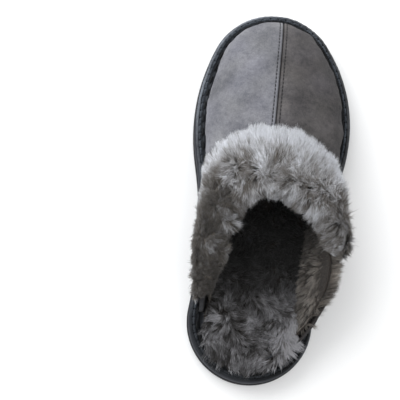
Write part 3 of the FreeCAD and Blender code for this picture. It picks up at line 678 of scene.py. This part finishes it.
# inset from the sole outline and height, from the inner foot over the top to the outer foot
welt_section = np.array([
    (9.0, 17.0), (9.0, 18.8), (8.7, 20.2), (8.2, 20.6), (7.5, 20.6), (7.0, 20.5), (6.6, 20.6),
    (6.2, 20.95), (5.9, 21.10), (5.6, 20.95), (5.3, 20.5), (4.95, 20.15), (4.65, 20.15),
    (4.3, 20.5), (4.0, 21.0), (3.6, 21.3), (3.2, 21.35), (2.7, 21.15), (2.25, 20.7), (1.95, 20.0),
    (1.75, 19.2), (1.8, 18.3), (2.0, 17.5), (2.3, 17.0), (5.9, 16.9),
])


def rounded(column, count):
    """A column of the welt's section, drawn with more points and softened corners."""
    fine = np.interp(np.linspace(0, len(column) - 1, count), np.arange(len(column)), column)
    for _ in range(3):
        fine[1:-1] = np.convolve(fine, np.array([0.25, 0.5, 0.25]), "valid")
    return fine


def welt_tone_and_painted_light(points, inset, hole):
    """Tone of the welt with painted light: a painted highlight on its outer rim, strongest at the toe
    and on the lit medial side, painted shade in the stitch holes and round the heel under the fleece,
    lighter on the medial side and darker and warmer on the lateral.
    """
    # painted highlight along the outer rim, with some random tone
    painted_shading = 1.05 + 0.35 * bell(inset, 2.6, 1.3) + 0.12 * waves(points, 30, 23)
    heel = smooth(points[..., 1], -60, -110)
    # painted shade in the stitch holes and round the heel
    painted_shading = painted_shading * (1 - 0.8 * hole * bell(inset, OUTER_ROW, 0.7)) * (1 - 0.72 * heel)
    # painted light: lighter on the medial side, darker on the lateral
    painted_shading = painted_shading * (1.22 - 0.56 * smooth(points[..., 0], -30, 45))
    painted_rim_highlight = (1 - smooth(inset, 3.3, 4.3)) * (1 - 0.45 * smooth(points[..., 0], 0, 45))
    painted_shading = painted_shading * (1 + painted_rim_highlight * (0.3 + 2.0 * smooth(points[..., 1], 20, 90)))
    # the lateral side is also painted warmer and darker
    warm = smooth(points[..., 0], 0, 40)[..., None] * np.array([0.0, 0.04, 0.10])
    return (painted_shading[..., None] * (1 - warm)).reshape(-1, 3)


def make_welt():
    """The welt swept round the sole, dipping at each stitch hole."""
    whole = Outline(OUTER_ROW)
    count, around = 1000, 61
    share = np.arange(count) / count
    base, outward = whole.at(share * whole.total)
    along = share * whole.total
    holes = int(whole.total / OUTER_PITCH)
    pitch = whole.total / holes
    beat = np.cos(2 * math.pi * (along / pitch + 0.5))
    inner_whole = Outline(INNER_ROW)
    dashes = int(inner_whole.total / INNER_PITCH)
    inner_beat = np.cos(2 * math.pi * share * dashes)
    inset = rounded(welt_section[:, 0], around) * np.ones((count, 1))
    z = rounded(welt_section[:, 1], around) * np.ones((count, 1))
    top = smooth(z, 18.5, 20.3)
    hole = np.clip(beat[:, None], 0, 1) ** 6
    z = z - top * 1.9 * hole * bell(inset, OUTER_ROW, 0.75)
    squeeze = np.clip(beat[:, None], 0, 1) ** 2
    z = z - top * 0.35 * squeeze * bell(inset, 3.4, 1.2)
    z = z - top * 0.25 * squeeze * bell(inset, 5.9, 0.7)
    inner_hole = np.clip(inner_beat[:, None], 0, 1) ** 2
    z = z - top * 0.5 * inner_hole * bell(inset, INNER_ROW, 0.6)
    points = lifted(base[:, None] + outward[:, None] * (OUTER_ROW - inset)[..., None], z)
    wobble = 0.16 * waves(points, 17, 21) + 0.07 * waves(points, 4, 22)
    points = points + lifted(outward[:, None] * (wobble * (z > 17.4))[..., None], 0.5 * wobble * top)
    flat = points.reshape(-1, 3)
    faces = outward_faces(flat, grid_faces(count, around, True, True))
    item = make_object("welt_strip", flat, faces, suede_welt,
                       welt_tone_and_painted_light(points, inset, hole))
    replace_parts(item, "welt")


def twisted_stitches(name, row, pitch, length, ply, height, phase, material, node):
    """A ring of two-ply stitches lying in a channel, each end going down its own hole."""
    line = Outline(row)
    count = int(line.total / pitch)
    places = (np.arange(count) + phase) * line.total / count
    steps = np.linspace(-0.5, 0.5, 15)
    spots = places[:, None] + steps * length
    base, outward = line.at(spots)
    arch = height - 1.6 * np.abs(2 * steps) ** 5
    strands = []
    for start in (0, math.pi):
        turn = start + 2 * math.pi * steps * length / 3.2
        aside = ply * 0.75 * np.cos(turn)
        rise = arch + ply * 0.75 * np.sin(turn)
        strands.append(lifted(base + outward * aside[:, None], rise))
    points, faces = tubes(np.concatenate(strands), ply * (1 + 0 * steps), 7)
    # painted shade: the threads darken round the heel, under the fleece
    painted_shading = 1 - 0.72 * smooth(points[:, 1], -70, -112)
    item = make_object(name, points, faces, material, np.repeat(painted_shading[:, None], 3, 1))
    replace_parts(item, node)


make_welt()
twisted_stitches("welt_thread_outer", OUTER_ROW, OUTER_PITCH, 4.9, 0.52, 21.0, 0.0,
                 thread_thick, "welt_outer_stitches")
twisted_stitches("welt_thread_inner", INNER_ROW, INNER_PITCH, 5.8, 0.50, 20.85, 0.5,
                 thread_dark, "welt_inner_stitches")


# ---------------------------------------------------------------- fur

SEGMENTS = 3  # along a strand
CURL = 0.12
RISE_FIRST, LIE = 0.9, 0.9
SKIN_THICKNESS = 1.2
PIECE_FACES = 190000  # strands are shared out over pieces of this many faces at most


def strand_faces():
    """Triangles of one closed three-sided strand: its foot, its sides and its tip."""
    tris = [(0, 2, 1)]
    for ring in range(0, 3 * SEGMENTS - 3, 3):
        for k in range(3):
            a, b = ring + k, ring + (k + 1) % 3
            tris += [(a, b, b + 3), (a, b + 3, a + 3)]
    last, tip = 3 * SEGMENTS - 3, 3 * SEGMENTS
    return np.array(tris + [(last + k, last + (k + 1) % 3, tip) for k in range(3)])


def fur(name, roots, normals, combs, lengths, width, root_colours, tip_colours, material, rng):
    """Closed three-sided strands that leave along the normal and bend towards the comb."""
    count = len(roots)
    t = np.linspace(0, 1, SEGMENTS + 1)
    aim = unit(normals * RISE_FIRST + combs)
    bend = unit(combs * (1 + LIE) + normals * (1 - LIE) * 0.5)
    wobble = rng.normal(size=(count, 3)) * CURL
    length = lengths[:, None, None]
    t1 = t[None, :, None]
    path = roots[:, None] + length * (aim[:, None] * t1 + (bend - aim)[:, None] * t1 ** 2 * 0.62
                                      + wobble[:, None] * t1 ** 2 * 0.6)
    tangent = unit(np.gradient(path, axis=1))
    reference = unit(rng.normal(size=(count, 3)))[:, None]
    profile = np.interp(t, [0, 0.35, 0.75, 1], [0.9, 1.0, 0.62, 0.0])
    radius = width[:, None] * profile[None, :]
    ring = circles(tangent, reference, 3)
    rings = path[:, :-1, None] + ring[:, :-1] * radius[:, :-1, None, None]
    points = np.concatenate([rings.reshape(count, -1, 3), path[:, -1:]], 1)
    tris = outward_faces(points[0], strand_faces())
    share = np.concatenate([np.repeat(t[:-1], 3), [1.0]])
    mix = smooth(share, 0.05, 0.9)[None, :, None]
    colours = root_colours[:, None] * (1 - mix) + tip_colours[:, None] * mix
    cell_u = np.concatenate([np.tile([0.15, 0.5, 0.85], SEGMENTS), [0.5]])
    cell_v = np.concatenate([np.repeat(t[:-1], 3), [1.0]]) * 0.7 + 0.15
    piece_size = PIECE_FACES // len(tris)
    for index, start in enumerate(range(0, count, piece_size)):
        part = slice(start, min(count, start + piece_size))
        n = part.stop - part.start
        side = math.ceil(math.sqrt(n))
        cells = np.arange(n)
        uv = np.stack([(cells % side)[:, None] + cell_u, (cells // side)[:, None] + cell_v], -1) / side
        make_object("%s_%d" % (name, index + 1), points[part].reshape(-1, 3),
                    copies(tris, n, points.shape[1]), material,
                    colours[part].reshape(-1, 3), uv.reshape(-1, 2))


class Field:
    """A grid surface that fur grows on, with values at each grid point."""

    def __init__(self, points, **values):
        nu, nv = points.shape[:2]
        self.points = points.reshape(-1, 3)
        self.tris = triangles(grid_faces(nu, nv))
        self.values = {k: v.reshape(nu * nv, -1) for k, v in values.items()}
        corner = self.points[self.tris]
        self.area = 0.5 * np.linalg.norm(
            np.cross(corner[:, 1] - corner[:, 0], corner[:, 2] - corner[:, 0]), axis=1)

    def sample(self, count, rng):
        """Random places on the surface, more of them where the density is high."""
        area = self.area * self.values["density"][self.tris].mean(1)[:, 0]
        picks = rng.choice(len(self.tris), size=count, p=area / area.sum())
        b = rng.random((count, 2))
        b = np.where(b.sum(1, keepdims=True) > 1, 1 - b, b)
        w = np.stack([1 - b.sum(1), b[:, 0], b[:, 1]], 1)[..., None]
        corners = self.tris[picks]
        found = {k: (v[corners] * w).sum(1) for k, v in self.values.items()}
        found["point"] = (self.points[corners] * w).sum(1)
        return found


def locks(field, name, lock_count, per_lock, spread, clump, width, material, rng, shades):
    """Fur in locks: the strands of a lock start apart and draw together towards its tip."""
    s = field.sample(lock_count, rng)
    normal = unit(s["normal"])
    comb = s["comb"]
    calm = s["calm"]
    own = rng.normal(size=(lock_count, 3)) * 0.22 * (1 - 0.8 * calm)
    comb = comb + own - normal * np.sum(own * normal, 1, keepdims=True)
    vary = 1 - 0.85 * calm[:, 0]
    length = s["length"][:, 0] * (1 + rng.uniform(-0.2, 0.15, lock_count) * vary)
    even = 1 - 0.6 * smooth(s["light"][:, 0], 0.7, 1.0)
    light = np.clip(s["light"][:, 0] + rng.normal(size=lock_count) * 0.24 * even, 0, 1)

    def rep(values):
        return np.repeat(values, per_lock, axis=0)

    n = rep(normal)
    count = lock_count * per_lock
    ref = unit(np.cross(n, unit(rng.normal(size=(count, 3)))))
    offset = ref * (spread * np.sqrt(rng.random(count)))[:, None]
    roots = rep(s["point"]) + offset
    strand_comb = rep(comb) + rng.normal(size=(count, 3)) * (0.10 * (1 - 0.6 * rep(calm)))
    long = rep(length) * (1 + rng.uniform(-0.28, 0.08, count) * rep(vary))
    strand_comb = strand_comb - offset * (clump * rep(vary) / np.maximum(long, 1))[:, None]
    tone = np.clip(rep(light) + rng.normal(size=count) * 0.13, 0, 1)[:, None]
    root_dark, root_light, tip_dark, tip_light = [linear(*c) for c in shades]
    # the field's shade carries painted shade and painted highlights into the strand colours
    root_colours = (root_dark + (root_light - root_dark) * tone) * rep(s["shade"])
    tip_colours = (tip_dark + (tip_light - tip_dark) * tone) * rep(s["shade"])
    widths = width * rng.uniform(0.75, 1.25, count)
    fur(name, roots, n, strand_comb, long, widths, root_colours, tip_colours, material, rng)


def skin(name, points, material):
    """A surface under the fur, given a little thickness so that it is closed."""
    du = np.gradient(points, axis=0)
    dv = np.gradient(points, axis=1)
    points, faces = shell(points, points + unit(np.cross(du, dv)) * SKIN_THICKNESS)
    return make_object(name, points, outward_faces(points, faces), material)


# ---------------------------------------------------------------- cuff

CUFF_WIDTH, CUFF_LATERAL, CUFF_MEDIAL = 48.0, 34.0, 32.0
CUFF_PILE, CUFF_END_PILE = 13.0, 5.0
CUFF_LATERAL_PILE, CUFF_MEDIAL_PILE = 17.0, 9.0
SKIN_DEPTH = 0.42  # the skin under the locks lies at this share of the pile
SKIN_WIDTH = 0.76  # and covers this share of the width; the front locks do the rest
CUFF_LOCKS, CUFF_STRANDS = 3700, 16
# shades of a lock: its roots dark to light, its tips dark to light
CUFF_SHADES = ((56, 50, 44), (180, 178, 176), (112, 105, 97), (234, 237, 244))


def throat_across(side, y):
    """Place along one side at which the throat edge reaches a given Y."""
    places = side * np.linspace(0.3, 1, 2001)
    return places[np.argmin(np.abs(throat_point(places)[:, 1] - y))]


def lobes(share):
    """Two rounded tufts, one behind the other, along a branch of the cuff."""
    return 0.5 + 0.5 * np.cos(2 * math.pi * (share - 0.60) / 0.27)


def cuff_grid(sections, over_count, nose_count):
    """Skin of the cuff: front edge, over the top, round the nose, into the throat."""
    whole = np.linspace(-1, 1, sections)
    a = np.where(whole > 0, whole * throat_across(1, CUFF_END_LATERAL_Y),
                 -whole * throat_across(-1, CUFF_END_MEDIAL_Y))
    share = np.abs(whole)
    fullness = np.sqrt(np.maximum(0, 1 - share ** 5))
    aside = np.minimum(1, share / 0.6) ** 2
    side_width = np.where(a > 0, CUFF_LATERAL, CUFF_MEDIAL)
    narrow = np.where(a > 0, aside, smooth(share, 0.42, 0.88))
    width = (CUFF_WIDTH + (side_width - CUFF_WIDTH) * narrow) * (0.3 + 0.7 * fullness)
    full = CUFF_PILE + (np.where(a > 0, CUFF_LATERAL_PILE, CUFF_MEDIAL_PILE) - CUFF_PILE) * aside
    pile = CUFF_END_PILE + (full - CUFF_END_PILE) * fullness
    low = rise_before_throat(a, width * SKIN_WIDTH)
    run = np.linspace(0, 1, over_count)
    r = low[:, None] + (1 - low[:, None]) * run
    aa = a[:, None] * np.ones(over_count)
    normal = upper_normal(aa, r)
    height = pile[:, None] * (0.45 + 0.55 * np.sin(np.minimum(1, 2 * (run + 0.12)) * math.pi / 2))
    over = upper_point(aa, r) + normal * (0.9 + SKIN_DEPTH * height)[..., None]
    throat = upper_point(a, 1 + 0 * a)
    n1 = normal[:, -1]
    inward = unit(throat - upper_point(a, 0.98 + 0 * a))
    foot = throat + inward * 2.0 - n1 * 6.0
    end = over[:, -1]
    p = pile[:, None] * SKIN_DEPTH
    bulge = smooth(share, 0.42, 0.60) * (1 - smooth(share, 0.93, 1.0))
    bulge = bulge * (1.5 + 1.9 * smooth(share, 0.60, 0.85) + 1.3 * lobes(share))
    reach = ((1.1 * aside + bulge) * (a < 0) - 0.60 * (1 - smooth(share, 0.15, 0.42)))[:, None]
    poles = [end, end + inward * p * (0.8 + reach), foot + inward * p * (0.6 + reach), foot]
    t = np.linspace(0, 1, nose_count + 1)[1:]
    nose = 0
    for i, pole in enumerate(poles):
        nose = nose + pole[:, None] * (math.comb(3, i) * t ** i * (1 - t) ** (3 - i))[None, :, None]
    return a, np.concatenate([over, nose], 1), pile, share


def cuff_field():
    """The cuff's fleece: how it lies, how long it is and how light, over the whole skin."""
    sections, over_count, nose_count = 181, 28, 14
    a, points, pile, share = cuff_grid(sections, over_count, nose_count)
    du = np.gradient(points, axis=0)
    dv = np.gradient(points, axis=1)
    normal = unit(np.cross(dv, du))
    if np.mean(normal[sections // 2, :10, 2]) < 0:
        normal = -normal
    v = np.linspace(0, 1, over_count + nose_count)[None, :] * np.ones((sections, 1))
    tangent_in = unit(dv)
    sideways = unit(du)

    # the lay: forwards in front of the parting, into the throat behind it, with swirls
    parting = 0.47 + 0.042 * waves(points, 34, 31)
    front_share = 1 - smooth(v, parting - 0.16, parting + 0.16)
    inwards = 1.05 * (1 - front_share) - 1.35 * front_share + 0.20 * waves(points, 15, 33)
    swirl = (0.30 * waves(points, 19, 32) * (0.4 + 0.6 * smooth(v, 0.1, 0.4))
             + 0.24 * waves(points, 9, 36) * (0.5 + 0.5 * smooth(v, 0.1, 0.35)))
    comb = tangent_in * inwards[..., None] + sideways * swirl[..., None]
    upright = bell(v, parting, 0.10)
    comb = comb * (1 - 0.35 * upright)[..., None]

    # the pile's length; "calm" marks the even front edge
    length = 10.5 * (pile / CUFF_PILE)[:, None] ** 0.4 * (1 - 0.35 * smooth(v, 0.6, 1.0))
    length = length * (0.66 + 0.34 * (pile / CUFF_LATERAL_PILE))[:, None]
    length = length * (1.08 + 0.07 * waves(points, 12, 35))
    calm = 1 - smooth(v, 0.10, 0.34)
    length = length * (1 + 0.05 * calm * waves(points, 9, 37)) * (1 - 0.10 * calm)

    # the tone: silvery at the front edge, browner behind it; the medial branch is browner and darker as
    # painted shadow, with painted highlights on its two tufts
    light = 0.95 - 0.56 * smooth(v, 0.10, 0.44) + 0.12 * smooth(v, 0.52, 0.75)
    light = light - 0.14 * smooth(share, 0.45, 0.8)[:, None]
    light = light - (0.10 * (a < 0) * smooth(share, 0.08, 0.25))[:, None]
    light = light + 0.17 * waves(points, 13, 34) * smooth(v, 0.12, 0.4)
    # painted shadow over the medial branch and its end; darker towards the lateral end
    medial_part = ((a < 0) * smooth(share, 0.30, 0.62))[:, None]
    lateral_part = ((a > 0) * smooth(share, 0.62, 0.9))[:, None]
    light = light - 0.48 * medial_part * smooth(v, 0.05, 0.5) - 0.20 * lateral_part
    medial_end = ((a < 0) * smooth(share, 0.55, 0.75))[:, None]
    light = light - 0.5 * medial_end * (1 - smooth(v, 0.1, 0.4))
    tuft = waves(points, 15, 38)
    tuft = 0.5 * tuft + (lobes(share)[:, None] - 0.45) * smooth(v, 0.45, 0.65)
    # painted highlights on the medial tufts
    light = light + 0.42 * tuft * medial_part
    length = length * (1 + (0.22 * tuft - 0.12) * medial_part)
    comb = comb + (sideways * (0.75 * waves(points, 13, 39))[..., None]) * medial_part[..., None]
    # shade multiplier: painted shadow on the medial branch with painted highlights on its tufts, and
    # darker towards the lateral end
    shade = (1 - 0.52 * medial_part * smooth(v, 0.10, 0.55)) * (1 - 0.12 * lateral_part)
    shade = shade * (1 + 0.30 * tuft * medial_part)
    density = 1 + 0.7 * (v < 0.12)
    return Field(points, normal=normal, comb=comb, length=length, light=light, density=density,
                 calm=calm, shade=shade), points


field, points = cuff_field()
cuff_skin = skin("cuff_fleece_base", points, cuff_base_material)
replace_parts(cuff_skin, "cuff_fleece")

rng = np.random.default_rng(41)
thin = 1.0
locks(field, "cuff_wool", int(CUFF_LOCKS * thin), CUFF_STRANDS, 1.7, 0.5, 0.135, fur_cuff,
      rng, CUFF_SHADES)


# ---------------------------------------------------------------- lining

LINING_TOP, LINING_END = 0.985, 0.955  # shares of the rise and of a
LINING_DEPTH = 5.2
LINING_LOCKS, LINING_STRANDS = 1150, 12
LINING_SHADES = ((30, 26, 23), (92, 84, 76), (52, 47, 42), (156, 150, 143))


def lining_field(side):
    """Fleece inside one half of the upper; along the cut edge it leans out over the leather."""
    nu, nv = 90, 30
    a = side * np.linspace(0.002, LINING_END, nu)
    low = rise_at_height(a, FOOTBED_TOP - 5)
    run = np.linspace(0, 1, nv)
    r = low[:, None] + (LINING_TOP - low[:, None]) * run
    aa = a[:, None] * np.ones(nv)
    normal = upper_normal(aa, r)
    points = upper_point(aa, r) - normal * LINING_DEPTH
    dv = unit(np.gradient(points, axis=1))
    du = unit(np.gradient(points, axis=0))
    v = run[None, :] * np.ones((nu, 1))
    comb = (du * (0.55 + 0.35 * waves(points, 22, 51))[..., None]
            + dv * (0.25 * waves(points, 17, 52) - 0.9)[..., None])
    leg = smooth(np.abs(aa), 0.66, 0.80)
    length = 6.8 + 2.4 * leg
    # painted shade: the fleece is darker deep in the toe cavity than up the legs, in its light value
    # here and its shade multiplier below
    light = 0.05 + 0.50 * leg + 0.2 * waves(points, 15, 53) * (0.3 + 0.7 * leg)
    crest = leg * smooth(v, 0.66, 1.0)
    length = length * (1 + (0.05 if side > 0 else 0.10) * crest)
    over = 1.7 if side > 0 else 2.6
    shade = 1 - 0.94 * smooth(np.abs(aa), 0.78, 0.50)
    comb = comb * (1 - crest)[..., None] + (normal * over + dv * 1.2) * crest[..., None]
    density = 0.35 + 0.9 * smooth(np.abs(aa), 0.35, 0.6) + (3.4 if side > 0 else 5.0) * crest
    return Field(points, normal=-normal, comb=comb, length=length, light=light, density=density,
                 calm=0.6 * leg, shade=shade), points


for side, side_name, node in ((-1, "medial", "lining_medial"), (1, "lateral", "lining_lateral")):
    field, points = lining_field(side)
    base = skin("lining_base_" + side_name, points, lining_base_material)
    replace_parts(base, node)
    locks(field, "lining_wool_" + side_name, int(LINING_LOCKS * thin), LINING_STRANDS, 1.4, 0.7, 0.16,
          fur_lining, rng, LINING_SHADES)


# ---------------------------------------------------------------- footbed

FOOTBED_INSET, FOOTBED_OVERHANG = 13.2, 3.6
FOOTBED_SKIN, FOOTBED_BOTTOM = 25.0, 17.3
FOOTBED_LOCKS, FOOTBED_STRANDS = 2900, 14
FOOTBED_SHADES = ((15, 13, 12), (78, 72, 67), (36, 32, 29), (184, 184, 189))


def footbed_field():
    """Fleece sock: a shallow dish whose pile hangs over the welt where no leg stands in its way."""
    line = Outline(FOOTBED_INSET)
    around, radial = 240, 26
    rim, outward = line.at(np.arange(around + 1) / around * line.total)
    lateral_free = smooth(rim[:, 1], -110, -115)
    free = np.where(rim[:, 0] > 0, lateral_free, smooth(rim[:, 1], -92, -102))
    rim = rim + outward * (FOOTBED_OVERHANG * free)[:, None]
    spine = np.stack([np.interp(rim[:, 1], [-120, 120], [-2, 2]),
                      np.clip(rim[:, 1], -92, 88)], -1)
    run = np.linspace(0.0, 1, radial) ** 0.8
    plan = spine[:, None] + (rim - spine)[:, None] * run[None, :, None]
    dish = 2.0 * run ** 3
    heel_fall = smooth(plan[..., 1], -70, -118) * free[:, None]
    z = FOOTBED_SKIN + dish[None, :] * (1 - heel_fall) - 5.5 * heel_fall * smooth(run, 0.72, 1.0)
    points = lifted(plan, z)
    points[..., 2] += 0.7 * waves(points, 24, 61)
    normal = np.cross(np.gradient(points, axis=1), np.gradient(points, axis=0))
    normal = unit(np.where(normal[..., 2:3] < 0, -normal, normal) + np.array([0, 0, 1e-3]))
    normal = unit(normal + UP * 0.8)
    edge = smooth(run, 0.72, 1.0)[None, :] * np.ones((around + 1, 1))
    turn = 1.1 * waves(points, 30, 62)
    swirl = waves(points, 26, 63)
    comb = np.stack([0.55 * np.sin(turn) + 0.35 * swirl, 0.25 * swirl - 0.55 * np.cos(turn),
                     0 * turn], -1)
    lean = (smooth(rim[:, 1], -78, -96) * (rim[:, 0] > 0) * (1 - lateral_free))[:, None] * edge
    over_edge = edge * (heel_fall - 0.2 * (1 - free[:, None])) + 1.2 * lean
    comb = 1.25 * comb + lifted(outward, 0.0)[:, None] * over_edge[..., None]
    length = 8.0 + 1.2 * waves(points, 18, 64)
    length = length * (1 - 0.30 * edge + 0.27 * edge * heel_fall + 0.75 * lean)
    # painted shade: the fleece darkens towards the toe, deep in the cavity, in its light value and its
    # shade multiplier
    back = smooth(points[..., 1], -48, -100)
    right = smooth(points[..., 0], -10, 25)
    light = 0.27 * back + 0.42 * back * right + 0.22 * waves(points, 13, 65) * (0.15 + 0.85 * back)
    light = light + 0.14 * lean
    density = 0.35 + 0.8 * smooth(points[..., 1], 20, -40) + 1.2 * lean
    shade = 0.05 + 0.95 * smooth(points[..., 1], -46, -90)
    return Field(points, normal=normal, comb=comb, length=length, light=light, density=density,
                 calm=np.full_like(light, 0.45), shade=shade), points


def footbed_base(top):
    """Closed cushion: the top surface, and a flat bottom on the board."""
    bottom = top.copy()
    bottom[..., 2] = FOOTBED_BOTTOM
    points, faces = shell(top, bottom)
    item = make_object("footbed_fleece_base", points, outward_faces(points, faces),
                       footbed_base_material)
    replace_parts(item, "footbed_fleece")


field, points = footbed_field()
footbed_base(points)
locks(field, "footbed_wool", int(FOOTBED_LOCKS * thin), FOOTBED_STRANDS, 1.7, 0.55, 0.15,
      fur_footbed, rng, FOOTBED_SHADES)


# ---------------------------------------------------------------- CAD nodes that show, or lie hidden

finishes = {
    "outsole": sole_rubber, "midsole": sole_foam, "insole_board": board_material,
    "footbed_foam": sole_foam, "centre_seam_tape": tape_grey, "topline_tape": tape_grey,
    "topline_stitches": tape_grey,
}
for node, material in finishes.items():
    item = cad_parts[node]
    item.data.materials.clear()
    item.data.materials.append(material)


# ---------------------------------------------------------------- floor, light, camera (in metres)

def make_floor():
    """A pale floor for the render, not a part of the object."""
    size = 2.5
    mesh = bpy.data.meshes.new("floor")
    mesh.from_pydata([(-size, -size, 0), (size, -size, 0), (size, size, 0), (-size, size, 0)], [],
                     [(0, 1, 2, 3)])
    item = bpy.data.objects.new("floor", mesh)
    bpy.context.scene.collection.objects.link(item)
    look = Look("floor", 0.9, 0.0, 0.1)
    look.inputs["Base Color"].default_value = (0.93, 0.93, 0.93, 1)
    mesh.materials.append(look.material)


def add_area(name, location, target, size, power, colour):
    """A square lamp that faces the target."""
    light = bpy.data.lights.new(name, "AREA")
    light.size = size
    light.energy = power
    light.color = colour
    item = bpy.data.objects.new(name, light)
    item.location = location
    item.rotation_mode = "QUATERNION"
    item.rotation_quaternion = (Vector(target) - Vector(location)).to_track_quat("-Z", "Y")
    bpy.context.scene.collection.objects.link(item)


make_floor()
add_area("key", (-0.80, 0.75, 1.00), (0, 0, 0.03), 1.5, 21, (0.98, 0.99, 1.0))
add_area("fill", (0.9, -0.5, 1.4), (0, 0, 0.03), 1.4, 5, (1.0, 0.99, 0.97))

world = bpy.data.worlds.new("studio")
world.use_nodes = True
background = world.node_tree.nodes["Background"].inputs
background["Color"].default_value = (0.98, 0.99, 1.0, 1)
background["Strength"].default_value = 0.86
bpy.context.scene.world = world
bpy.context.scene.view_settings.view_transform = "Standard"

# the camera looks down, tilted and rolled a little; a long lens keeps it near to square on
TILT, ROLL = math.radians(12), math.radians(4.2)
DISTANCE, FRAME_WIDTH = 0.80, 0.2870  # in metres
TARGET = np.array([-0.0506, -0.0066, 0.010])
SENSOR = 36


def add_camera():
    data = bpy.data.cameras.new("camera")
    data.sensor_width = SENSOR
    data.lens = SENSOR * DISTANCE / FRAME_WIDTH
    data.clip_start = 0.05
    data.clip_end = 20
    camera = bpy.data.objects.new("camera", data)
    back = np.array([0, -math.sin(TILT), math.cos(TILT)])
    camera.location = TARGET + back * DISTANCE
    camera.rotation_mode = "QUATERNION"
    view_turn = Vector(-back).to_track_quat("-Z", "Y")
    camera.rotation_quaternion = view_turn @ Quaternion((0, 0, 1), ROLL)
    bpy.context.scene.collection.objects.link(camera)
    bpy.context.scene.camera = camera


add_camera()
